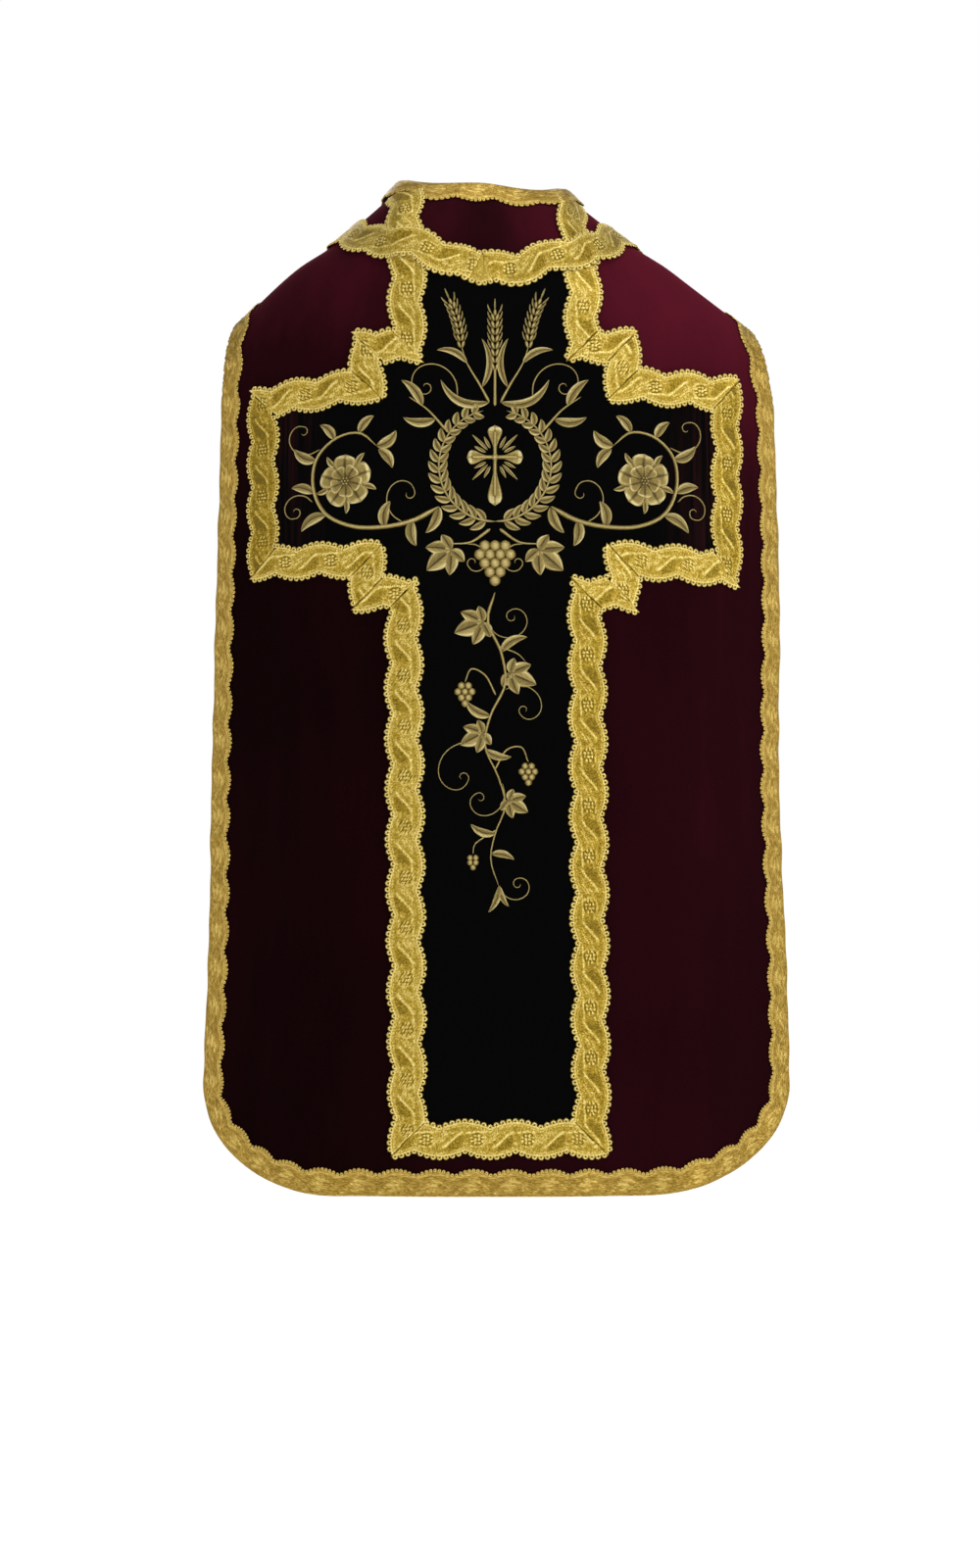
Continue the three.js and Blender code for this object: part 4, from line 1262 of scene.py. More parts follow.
def picots(run, edge_side, pitch, loop, half_web, edge_at, lift, blank):
    """Loops set side by side along one edge of a tape."""
    first, last = (float(end[0]) for end in run.ends(np.array([edge_side * half_web])))
    margin = loop["radius"] * 0.9
    count = int((last - first - 2 * margin) // pitch)
    slack = (last - first - 2 * margin) - count * pitch
    s = first + margin + slack / 2 + pitch * np.arange(count + 1)
    v = edge_at(s) + edge_side * loop["out"]
    local = blank.points
    height = local[:, 2] * loop["height"]
    all_s = (s[:, None] + local[:, 0] * loop["radius"]).ravel()
    all_v = (v[:, None] + local[:, 1] * loop["radius"]).ravel()
    rise = np.tile(height, len(s)) + lift
    points = run.point(all_s, all_v, rise).reshape(len(s), -1, 3)
    # The thread runs round the loop, and its glints with it.
    round_loop = np.arctan2(local[:, 1], local[:, 0]) * loop["radius"]
    uv = np.stack([round_loop * 1.4, height * 2], -1)
    # Painted light: each loop is lighter on its top and darker below.
    raised = np.clip(0.24 + 0.4 * local[:, 2], 0, 1)
    return [(blank, points[i], uv + [s[i], 0], raised) for i in range(len(s))]


def across_shares(near_edge, middle_cells):
    """Column places across a tape: close together at its edges, even in the middle."""
    inner = near_edge[-1]
    middle = np.linspace(inner, 1 - inner, middle_cells + 1)[1:-1]
    return np.concatenate([near_edge, middle, 1 - np.array(near_edge[::-1])])


# How far a rosette reaches, and the distance of the rows in it and elsewhere.
ROSETTE_REACH, FINE_ROW, COARSE_ROW = 8.5, 0.95, 2.3


def row_shares(length, phase, repeat):
    """Rows for a length of galloon: close together across a rosette, wider elsewhere."""
    s = np.linspace(0, length, max(8, round(length * 4)))
    away = np.abs(repeats_from((s + phase) / repeat, ROSETTE_AT)) * repeat
    dense = np.where(away < ROSETTE_REACH, 1 / FINE_ROW, 1 / COARSE_ROW)
    count = np.concatenate([[0], np.cumsum((dense[1:] + dense[:-1]) / 2 * np.diff(s))])
    rows = max(4, round(count[-1]))
    return np.interp(np.linspace(0, count[-1], rows + 1), count, s) / length


def join_loops(piece, loops):
    """Joins loops to their tape, so that both are one piece."""
    if loops:
        select_only(piece, joined_copies("loops", loops))
        bpy.ops.object.join()


# Columns beside a galloon's edge, where its cord and beads are: mm inward.
EDGE_COLUMNS = (0, 0.7, 1.3, 2.0, 3.0, 3.9, 4.8)
MIDDLE_COLUMNS = 14
SHORTEST_CUT = 20


def weave(run, phase, context, shade=0.0):
    """A length of wide galloon with its woven figure and the loops along both edges; shade
    darkens a length whose strips turn from the light."""
    sizes = context.scene.chasuble_sizes
    half = sizes.galloon_width / MM / 2 - loop_reach(PICOT_LOOP)
    repeat, scallop = sizes.galloon_repeat / MM, sizes.galloon_scallop / MM
    columns = across_shares([inward / (2 * half) for inward in EDGE_COLUMNS], MIDDLE_COLUMNS)
    lines = row_shares(run.length, phase, repeat)
    piece, across, along = grid(len(columns) - 1, len(lines) - 1)
    along = at_shares(lines, along)
    share = at_shares(columns, across)
    v = (share * 2 - 1) * half
    # A mitre's end depends on v and the scalloped edge on s, so both are found by repeating.
    for _ in range(2):
        first, last = run.ends(v)
        s = mix(first + run.gap, last - run.gap, along)
        low, high = galloon_edges((s + phase) / repeat, half, scallop)
        v = mix(low, high, share)
    relief, tone = galloon_relief((s + phase) / repeat, v, repeat, low, high)
    fold, crease, flat = run.folds(s, v, first, last, half)
    relief = relief * (1 - flat)
    lift = GALLOON_MIDDLE + RELIEF * relief + FOLD_RISE * fold - CREASE_DEPTH * crease
    # Painted light on a mitre's fold and painted shade in its crease; shade darkens runs that turn
    # from the light.
    tone = mix(tone, PLAIN_TONE, flat) + FOLD_PAINTED_LIGHT * fold - CREASE_PAINTED_SHADE * crease - shade
    points = run.point(s, v, lift)
    write_mesh(piece.data, points, np.stack([s, v], -1), tone)
    face_out(piece, outward_at(run, s[:1], v[:1]))
    thicken(piece, sizes.galloon_wall)
    blank = picot_blank(12, 4, PICOT_LOOP)
    pitch, level = sizes.picot_pitch / MM, GALLOON_MIDDLE + PICOT_LIFT
    loops = []
    for edge_side, edge in ((-1, 0), (1, 1)):

        def edge_at(s):
            return galloon_edges((s + phase) / repeat, half, scallop)[edge]

        loops += picots(run, edge_side, pitch, PICOT_LOOP, half, edge_at, level, blank)
    join_loops(piece, loops)
    return piece, sizes.galloon_width, max(run.length, SHORTEST_CUT) * MM


def outward_at(run, s, v):
    """Which way a run faces at a place."""
    up = run.point(s, v, np.array([5.0])) - run.point(s, v, np.array([0.0]))
    return up[0]


UNDER_BAND_TOP = -70  # where the pillars' galloon ends, hidden under the shoulder band
# Corners of the galloon's centre line down the wearer's left side. Each run is named by
# the corner where it starts: (run, distance from the middle, height).
CROSS_CORNERS = [
    ("pillar_top", PILLAR_TOP, UNDER_BAND_TOP), ("step_upper", PILLAR_TOP, STEP_TOP),
    ("step_upper_side", STEP, STEP_TOP), ("arm_upper", STEP, ARM_TOP),
    ("arm_end", ARM, ARM_TOP), ("arm_lower", ARM, ARM_FOOT),
    ("step_lower_side", STEP, ARM_FOOT), ("step_lower", STEP, STEP_FOOT),
    ("pillar_side", PILLAR, STEP_FOOT), ("foot", PILLAR, FOOT),
]
# Where a run starts in the woven repeat, in mm; any other goes on where the last one ended.
PHASES = {"pillar_side_left": -48, "pillar_side_right": 8, "foot": 20}
BAND_PHASES = {"left": 30, "right": 11}
STRIP_PHASE = 6
# How much darker a run is that turns from the light.
SHADES = {"arm_end_left": 0.2, "arm_end_right": 0.12, "pillar_side_right": 0.09}


def sideways(a, b):
    """The direction to the left of the way from a to b."""
    along = np.subtract(b, a) / np.linalg.norm(np.subtract(b, a))
    return np.array([-along[1], along[0]])


def mitre(before, after):
    """From the centre line's corner to the edge's, at a width of 1."""
    return (before + after) / (1 + np.dot(before, after))


class CHASUBLE_OT_cross_galloon(Operator):
    """Sew the wide galloon round the cross, folded to a mitre at each corner"""

    bl_idname = "chasuble.cross_galloon"
    bl_label = "Galloon of the Cross"

    def execute(self, context):
        gold = bright_galloon(context.scene.chasuble_colours)
        left = [(name, (-flat, height)) for name, flat, height in CROSS_CORNERS]
        right = [(name, (flat, height)) for name, flat, height in CROSS_CORNERS[::-1]]
        corners = left + right
        phase = 0.0
        for i in range(len(corners) - 1):
            start, end = corners[i][1], corners[i + 1][1]
            own = sideways(start, end)
            before = sideways(corners[i - 1][1], start) if i else own
            after = sideways(end, corners[i + 2][1]) if i < len(corners) - 2 else own
            if i < len(left) - 1:
                name = corners[i][0] + "_left"
            elif i >= len(left):
                name = corners[i + 1][0] + "_right"
            else:
                name = "foot"
            run = StraightRun(start, end, mitre(before, own), mitre(own, after))
            phase = PHASES.get(name, phase)
            piece, width, length = weave(run, phase, context, SHADES.get(name, 0.0))
            phase += run.length
            finish(piece, "web_" + name, gold, ["galloon_" + name])
        return {"FINISHED"}


# Centre line of the band round the shoulders, on one side: (distance from the middle, t).
BAND_ROUTE = [
    (-6, 0.752), (30, 0.74), (60, 0.685), (100, 0.585), (130, 0.4), (149, 0.12),
    (160, -0.18), (157, -0.42), (132, -0.66), (84, -0.84), (40, -0.91), (-6, -0.93),
]
END_PLACES = 60  # places at each end of its line that the middle lies among
# The short strips: (side, x, lean to the foot, height of the top, slant of the top).
NECK_STRIPS = [("left", -95, 0, 0, 0.3), ("right", 80, 7, -6, 0.0)]
STRIP_FOOT = -58
SLANT_ROOM = 8  # how far a strip's line runs on above its top, for the slant


class CHASUBLE_OT_band(Operator):
    """Sew the band of galloon round the shoulders, joined in the middle of back and front"""

    bl_idname = "chasuble.band"
    bl_label = "Shoulder Band"

    def execute(self, context):
        gold = bright_galloon(context.scene.chasuble_colours)
        for name, sign in (("left", -1), ("right", 1)):
            x, t = centripetal([(NECK_CENTRE_X + sign * off, t) for off, t in BAND_ROUTE], 50)
            run = CurvedRun(x, t)
            off = (x - NECK_CENTRE_X) * sign
            # The line starts and ends beyond the middle, where the tape is cut.
            begin = np.interp(0, off[:END_PLACES], run.measure[:END_PLACES])
            end = np.interp(0, -off[-END_PLACES:], run.measure[-END_PLACES:])
            run = CurvedRun(x, t, begin=begin, end=end, over="band", sign=sign)
            piece, width, length = weave(run, BAND_PHASES[name], context)
            finish(piece, "web_band_" + name, gold, ["band_" + name])
        return {"FINISHED"}


class CHASUBLE_OT_neck_strips(Operator):
    """Sew the two short strips of galloon from the neck edge to the band"""

    bl_idname = "chasuble.neck_strips"
    bl_label = "Neck Strips"

    def execute(self, context):
        gold = bright_galloon(context.scene.chasuble_colours)
        for name, x, lean, top, slant in NECK_STRIPS:
            share = np.linspace(0, 1, 60)
            ends = [(x, top + 0.9 * SLANT_ROOM), (x + lean, STRIP_FOOT)]
            t = [float(back_t(np.array(end_x), np.array(z))) for end_x, z in ends]
            run = CurvedRun(x + lean * share, mix(t[0], t[1], share), begin=SLANT_ROOM, skew=slant)
            piece, width, length = weave(run, STRIP_PHASE, context)
            finish(piece, "web_strip_" + name, gold, ["neck_strip_" + name])
        return {"FINISHED"}


# ---- Folded bindings --------------------------------------------------------------------
BINDING_LIFT = 2.2
# The fold round the cloth's edge, from the outer leg to the inner: (v, lift).
BINDING_FOLD = [(-1.0, 2.0), (-1.8, 1.2), (-2.1, 0.0), (-1.8, -1.2), (-1.0, -2.0)]
BINDING_LOOP = {"radius": 1.22, "thread": 0.9, "height": 0.75, "out": 0.2}
LOOPS_PER_SCALLOP = 9
BINDING_LOOP_LIFT = 0.3  # above the middle of the tape
BINDING_SCALLOP = 3.0
# Short bars, as on the galloon, and five dots in a lattice.
BINDING_BARS = [
    (3.4, 0.3, 0.5), (6.6, 0.36, 0.66), (9.9, 0.26, 0.56), (13.2, 0.4, 0.7), (16.4, 0.34, 0.6),
]
BINDING_DOTS = [(-2, -2.2), (2, -2.2), (0, 0), (-2, 2.2), (2, 2.2)]
DOTS_AT, DOTS_V = 0.84, 8  # their middle: share of the repeat, and mm from the cloth's edge
# Columns of the folded tape from the outer leg's edge round the cloth's to the inner leg's:
# (share of the leg's width, mm beyond that, lift).
OUTER_CELLS, INNER_CELLS = 13, 5
BINDING_COLUMNS = np.array(
    [(1 - i / OUTER_CELLS, 0, BINDING_LIFT) for i in range(OUTER_CELLS + 1)]
    + [(0, v, lift) for v, lift in BINDING_FOLD]
    + [(i / INNER_CELLS, 0, -BINDING_LIFT) for i in range(INNER_CELLS + 1)]
)
INNER_LEG_UV = -10  # where the inner leg starts in the web's map
PLAIN_RELIEF = 0.35  # that of the inner leg and the fold, which have no figure


def binding_relief(p, v, repeat, edge):
    """Height of the narrow galloon's woven figure, from 0 to 1."""
    phase = fraction(p)
    # Two cords inside the outer edge, and a rib that slants up to the second.
    rise = 0.5 * ridge(edge - v - 1.3, 0.7) + 0.45 * ridge(edge - v - 3.6, 0.7)
    rib_v = mix(1.0, 12.5, smooth_step((phase - 0.02) / 0.36))
    on_rib = smooth_step(phase / 0.04) * smooth_step((0.5 - phase) / 0.06)
    rise = np.maximum(rise, 0.6 * on_rib * ridge(v - rib_v, 1.1))
    rise = woven_bars(rise, BINDING_BARS, p, v, 0.7, 1.0, 0.04)
    ds = repeats_from(p, DOTS_AT) * repeat
    rise = woven_dots(rise, BINDING_DOTS, v - DOTS_V, ds, 0.6, 1.3, 1.3)
    return np.clip(rise, 0, 1)


def fold_binding(run, row_mm, context, lift_over=None):
    """A narrow galloon folded over the cloth's edge, with loops along its outer leg."""
    sizes = context.scene.chasuble_sizes
    width = sizes.binding_width / MM
    repeat = run.length / round(run.length / (sizes.binding_repeat / MM))

    def edge_at(s):
        return width + scalloped(s / repeat, BINDING_SCALLOP)

    last_column = len(BINDING_COLUMNS) - 1
    piece, across, along = grid(last_column, round(run.length / row_mm))
    column = np.rint(across * last_column).astype(int)
    s = along * run.length
    share, beyond, lift = BINDING_COLUMNS[column].T
    v = share * edge_at(s) + beyond
    on_leg = column <= OUTER_CELLS
    relief = np.where(on_leg, binding_relief(s / repeat, v, repeat, edge_at(s)), PLAIN_RELIEF)
    relief = relief * smooth_step(v / 2 + 1)
    lift = lift + np.where(on_leg, RELIEF * relief, 0)
    if lift_over is not None:
        lift = lift + np.where(on_leg, lift_over(run, s, v), 0)
    points = run.point(s, v, lift)
    running = np.where(on_leg, v, INNER_LEG_UV - v)
    write_mesh(piece.data, points, np.stack([s, running], -1), 0.1 + 0.6 * relief)
    if run.closed:
        select_only(piece)
        bpy.ops.object.mode_set(mode="EDIT")
        bpy.ops.mesh.select_all(action="SELECT")
        bpy.ops.mesh.remove_doubles(threshold=0.00001)
        bpy.ops.object.mode_set(mode="OBJECT")
    face_out(piece, outward_at(run, s[:1], v[:1]))
    thicken(piece, sizes.binding_wall)
    blank = picot_blank(8, 4, BINDING_LOOP)
    level = BINDING_LIFT + BINDING_LOOP_LIFT
    pitch = repeat / LOOPS_PER_SCALLOP
    loops = picots(run, 1, pitch, BINDING_LOOP, width, edge_at, level, blank)
    if lift_over is not None:
        # Where the tape climbs, its loops go up and out with it, each as a whole.
        climb = np.array([0, -0.4, 0.9])
        ups = [lift_over(run, uv[:1, 0], np.full(1, width))[0] for _, _, uv, _ in loops]
        loops = [
            (blank, points + climb * up, uv, raised)
            for (_, points, uv, raised), up in zip(loops, ups)
        ]
    join_loops(piece, loops)
    return piece, 2 * width * MM, run.length * MM


def side_line(place, u, first_row):
    """Places down one side of a panel from its seam to the hem."""
    row = np.concatenate([np.linspace(first_row, 1, 160), np.linspace(1, 2, 241)[1:]])
    return place(np.full_like(row, u), row)


def hem_line(place, sign):
    """Places along the hem, closer together towards its corners."""
    u = sign * np.sin(np.linspace(-1, 1, 801) * QUARTER)
    return place(u, np.full_like(u, 2.0))


def boundary(place, first_row, sign):
    """A panel's edge from one shoulder seam round the hem to the other."""
    x1, t1 = side_line(place, -sign, first_row)
    x2, t2 = hem_line(place, sign)
    x3, t3 = side_line(place, sign, first_row)
    x = np.concatenate([x1, x2[1:-1], x3[::-1]])
    t = np.concatenate([t1, t2[1:-1], t3[::-1]])
    return x, t


def neck_line():
    """Places round the neck edge, counted so that the cloth lies on the left."""
    angle = np.linspace(0, 2 * math.pi, 721)
    power = 2 / NECK["squareness"]
    across = np.sign(np.cos(angle)) * np.abs(np.cos(angle)) ** power
    along = np.sign(np.sin(angle)) * np.abs(np.sin(angle)) ** power
    x = NECK["x"] + NECK["half"] * across
    y = NECK["y"] + np.where(along > 0, NECK["front"], NECK["back"]) * along
    return x[::-1], shoulder_t(x, y)[::-1]


def over_strips(run, s, v):
    """How far the neck tape is lifted where it passes over the two strips."""
    x, t = run.place(s)
    rise = 0 * x
    for _, strip_x, *_ in NECK_STRIPS:
        rise = rise + np.exp(-(((x - strip_x) / 25) ** 4))
    over = smooth_step(t / 0.05 + 1)
    return over * np.minimum(rise, 1) * smooth_step(v / 8) * UNDER_NECK_TAPE


class CHASUBLE_OT_bindings(Operator):
    """Fold the narrow galloon over the edges of the back, the front and the neck"""

    bl_idname = "chasuble.bindings"
    bl_label = "Edge Bindings"

    def execute(self, context):
        old_gold = old_galloon(context.scene.chasuble_colours)
        # (name, its line, length of a row in mm, what lifts it, whether it is closed).
        edges = [
            ("back", boundary(back_place, SEAM_T, 1), 2.3, None, False),
            ("front", boundary(front_place, -SEAM_T, -1), 3.6, None, False),
            ("neck", neck_line(), 2.0, over_strips, True),
        ]
        for name, (x, t), row_mm, lift_over, closed in edges:
            run = CurvedRun(x, t, over="edge", closed=closed)
            piece, width, length = fold_binding(run, row_mm, context, lift_over)
            nodes = ["binding_" + name]
            finish(piece, "folded_tape_" + name, old_gold, nodes)
        return {"FINISHED"}


# ---- Needlework -------------------------------------------------------------------------
STITCH_FOOT = -0.3  # how far stitches go into the cloth
# Painted shade: the stitches' feet are dark, so each motif darkens down its sides.
STITCH_FOOT_PAINTED_SHADE = 0.1


def bowed_line(base, tip, bow, count=25):
    """Places from a base to a tip, bowed sideways by a share of their distance."""
    base, tip = np.array(base, float), np.array(tip, float)
    axis = tip - base
    side = np.array([-axis[1], axis[0]])
    f = np.linspace(0, 1, count)[:, None]
    return base + axis * f + side * bow * 4 * f * (1 - f)


class Needle:
    """Stitches motifs on the flat cross. Places are (flat, height) in mm. In a motif, share
    runs along it from 0 to 1, and v across it from -1 to 1."""

    def __init__(self):
        self.copies = []
        self.blanks = {
            "leaf": self.closed_grid(10, 14),
            "stem": self.closed_grid(4, 40),
            "grain": self.closed_grid(6, 7),
        }

    @staticmethod
    def closed_grid(across, along):
        """A flat closed blank: a top at 0 and a bottom at -1 of the same grid."""
        piece, _, _ = grid(across, along)
        thicken(piece, 1, offset=-1)
        return Blank(piece)

    def lay(self, blank_name, line, widths, height_at, tone_at, slant):
        """One motif along a line of places. widths takes share, height_at and tone_at take
        share and v, and slant leans the threads against the line."""
        blank = self.blanks[blank_name]
        v = np.clip(blank.points[:, 0], -1, 1)
        share = np.clip((blank.points[:, 1] + 1) / 2, 0, 1)
        top = blank.points[:, 2] > -0.5
        lengths = np.concatenate([[0], np.cumsum(np.linalg.norm(np.diff(line, axis=0), axis=1))])
        total = lengths[-1]

        def spot(at):
            at = np.clip(at, 0, 1) * total
            return np.stack([np.interp(at, lengths, line[:, i]) for i in (0, 1)], -1)

        direction = spot(share + 0.02) - spot(share - 0.02)
        direction = direction / np.maximum(np.linalg.norm(direction, axis=1), 1e-9)[:, None]
        side = np.stack([-direction[:, 1], direction[:, 0]], -1)
        half = widths(share)
        flat = spot(share) + side * (v * half)[:, None]
        height = np.where(top, height_at(share, v), STITCH_FOOT)
        x, t = cross_place(flat[:, 0], flat[:, 1])
        points = draped(x, t, CROSS_FACE + height)
        across = v * half
        uv = np.stack([share * total + slant * np.abs(across), across], -1)
        tone = np.where(top, tone_at(share, v), STITCH_FOOT_PAINTED_SHADE)
        self.copies.append((blank, points, uv, np.clip(tone, 0, 1)))

    def leaf(self, base, tip, half, bow=0.0, pad=2.0, belly=0.8, groove=0.9):
        """A pointed leaf, padded, with a groove down its midrib and a corded edge."""

        def widths(share):
            return half * np.sin(math.pi * np.clip(share, 0, 1) ** belly) ** 0.85 + 0.25

        def height(share, v):
            body = np.sin(math.pi * np.clip(share, 0.02, 0.98) ** belly) ** 0.5
            dome = pad * (1 - np.abs(v) ** 2.6) ** 0.55
            cord = 0.35 * ridge(np.abs(v) - 0.8, 0.14)
            return body * (dome + cord - groove * ridge(v, 0.13)) + 0.15

        def tone(share, v):
            # Painted light: one half of the leaf is lighter than the other, the corded edge gets a
            # painted highlight and the midrib groove painted shade.
            painted_light_half = 0.08 * np.sign(v)
            return 0.3 + painted_light_half + 0.34 * ridge(np.abs(v) - 0.8, 0.16) - 0.42 * ridge(v, 0.1)

        self.lay("leaf", bowed_line(base, tip, bow), widths, height, tone, 1.1)

    def petal(self, base, tip, half, bow=0.0, pad=2.0, blunt=1.7, groove=0.35):
        """A broad petal, widest towards its rolled edge."""

        def widths(share):
            return half * np.sin(math.pi * np.clip(share, 0, 1) ** blunt) ** 0.62 + 0.3

        def height(share, v):
            body = np.clip(share * 3, 0.25, 1) * np.clip((1 - share) * 9, 0, 1) ** 0.5
            lip = 0.6 * ridge(share - 0.86, 0.1)
            cupped = pad * (0.55 + 0.45 * v**2) * (1 - np.abs(v) ** 6) ** 0.5
            return body * (cupped + lip - groove * ridge(v, 0.1)) + 0.15

        def tone(share, v):
            # Painted light: the petal lightens towards its lip, the lip and edges get a painted
            # highlight and the middle groove painted shade.
            painted_rim_highlight = 0.3 * ridge(share - 0.9, 0.07) + 0.26 * ridge(np.abs(v) - 0.88, 0.12)
            return 0.18 + 0.2 * share + painted_rim_highlight - 0.3 * ridge(v, 0.09)

        self.lay("leaf", bowed_line(base, tip, bow), widths, height, tone, 0.15)

    def stem(self, points, half, taper=0.35, pad=None):
        """A couched cord through places, thinner towards its end."""
        pad = half * 1.25 if pad is None else pad
        line = np.stack(centripetal(points, 16, stretch=1), -1)

        def widths(share):
            return half * mix(1, taper, share) * np.clip(np.minimum(share, 1 - share) * 30, 0.2, 1)

        def height(share, v):
            return pad * mix(1, taper, share) * np.sqrt(np.clip(1 - v**2, 0, 1)) + 0.1

        def tone(share, v):
            # Painted shade: a cord darkens towards its sides, where it turns away.
            return 0.5 - 0.35 * v**2

        self.lay("stem", line, widths, height, tone, 0.8)

    def tendril(self, start, centre, radius, turns, half=0.85, sense=1):
        """A thin cord from a place that curls into a spiral about a centre."""
        away = np.subtract(start, centre)
        begin = math.degrees(math.atan2(away[1], away[0]))
        reach = float(np.linalg.norm(away))
        steps = 14 * turns
        places = []
        for i in range(int(steps) + 1):
            f = i / steps
            # It comes in to its radius, and winds tighter after its first quarter.
            r = mix(reach, radius, min(1, f * 2.2)) * (1 - 0.72 * max(0, f - 0.25) / 0.75)
            places.append(around(centre, r, begin + sense * 360 * turns * f))
        self.stem(places, half, taper=0.7)

    def grain(self, base, tip, half, pad=2.4):
        """A small plump oval, such as a grain or a grape."""

        def widths(share):
            return half * np.sqrt(np.clip(1 - (2 * share - 1) ** 2, 0.01, 1))

        def height(share, v):
            body = np.clip(1 - (2 * share - 1) ** 2, 0, 1)
            return pad * np.sqrt(body) * np.sqrt(np.clip(1 - v**2, 0, 1)) + 0.15

        def tone(share, v):
            # Painted light: a grain is lightest in its middle and darker towards its edge.
            return 0.5 - 0.4 * (v**2 + (2 * share - 1) ** 2) / 2

        self.lay("grain", bowed_line(base, tip, 0, 9), widths, height, tone, 0.0)

    def piece(self, name, context):
        """All that was stitched so far, as one piece."""
        colours, sizes = context.scene.chasuble_colours, context.scene.chasuble_sizes
        thread = gold_thread(colours, sizes.thread)
        made = joined_copies(name, self.copies)
        select_only(made)
        bpy.ops.object.mode_set(mode="EDIT")
        bpy.ops.mesh.select_all(action="SELECT")
        bpy.ops.mesh.remove_doubles(threshold=0.00002)
        bpy.ops.mesh.normals_make_consistent(inside=False)
        bpy.ops.object.mode_set(mode="OBJECT")
        self.copies = []
        finish(made, name, thread, [])


def around(centre, radius, degrees):
    """The place at a radius and an angle about a centre."""
    turn = math.radians(degrees)
    return (centre[0] + radius * math.cos(turn), centre[1] + radius * math.sin(turn))


def rose(needle, centre, size, spin=0):
    """A five-petalled wild rose with two rings of petals and a knotted heart."""
    for ring, (reach, half, pad) in enumerate(((1.0, 0.44, 1.6), (0.62, 0.3, 2.6))):
        for i in range(5):
            angle = spin + 72 * i + 36 * ring
            base, tip = around(centre, size * 0.1, angle), around(centre, size * reach, angle)
            needle.petal(base, tip, size * half, pad=pad, bow=0.04)
    for i in range(5):
        angle = spin + 72 * i + 36
        base, tip = around(centre, size * 0.72, angle), around(centre, size * 1.22, angle)
        needle.leaf(base, tip, size * 0.1, bow=0.1, pad=1.2)
    for i in range(7):
        spot = centre if i == 6 else around(centre, size * 0.11, 60 * i)
        needle.grain((spot[0] - 1.6, spot[1]), (spot[0] + 1.6, spot[1]), 1.6, pad=4.2)


def wheat_ear(needle, base, tip, bow, pairs=7):
    """An ear of wheat: grains in pairs up a bowed line, with awns beyond."""
    base, tip = np.array(base, float), np.array(tip, float)
    axis = tip - base
    side = np.array([-axis[1], axis[0]])
    size = float(np.linalg.norm(axis)) / pairs

    def spot(f):
        return base + axis * f + side * bow * 4 * f * (1 - f)

    for i in range(pairs):
        f = i / pairs
        here, ahead = spot(f), spot(f + 0.12)
        forward = (ahead - here) / np.linalg.norm(ahead - here)
        out = np.array([-forward[1], forward[0]])
        for sign in (-1, 1):
            foot = here + sign * out * 0.8
            top = here + forward * size * 1.15 + sign * out * size * 0.5
            needle.grain(foot, top, size * 0.25, pad=2.6)
            awn = top + forward * size * 1.3 + sign * out * size * 0.55
            needle.leaf(top, awn, 0.55, bow=0.06 * sign, pad=0.9, groove=0)
    end = spot(1.0)
    forward = (end - spot(0.9)) / np.linalg.norm(end - spot(0.9))
    needle.grain(end - forward * 2, end + forward * 6, 1.8, pad=2.4)
    needle.leaf(end + forward * 5, end + forward * 17, 0.6, pad=0.9, groove=0)


# Lobes of a vine leaf: (turn in degrees, length and half width as shares of its size).
VINE_LOBES = [(0, 1, 0.3), (46, 0.8, 0.23), (-46, 0.8, 0.23), (98, 0.56, 0.19), (-98, 0.56, 0.19)]


def vine_leaf(needle, base, tip, size):
    """A lobed vine leaf: five pointed lobes from one base."""
    base, tip = np.array(base, float), np.array(tip, float)
    heading = math.degrees(math.atan2(tip[1] - base[1], tip[0] - base[0]))
    heart = base + (tip - base) * 0.18
    for turn, reach, half in VINE_LOBES:
        end = around(heart, size * reach, heading + turn)
        needle.leaf(heart, end, size * half, bow=0.03 * np.sign(turn), pad=1.9, belly=0.85)


def grapes(needle, top, size, rows):
    """A hanging bunch of grapes: rows of round berries, fewer towards the foot."""
    for r, count in enumerate(rows):
        for i in range(count):
            x = top[0] + (i - (count - 1) / 2) * size * 1.75
            y = top[1] - r * size * 1.5
            needle.grain((x, y + size), (x, y - size), size * 0.98, pad=3.2)


HEART = (0, -300)  # middle of the needlework
WREATH_RADIUS = 60


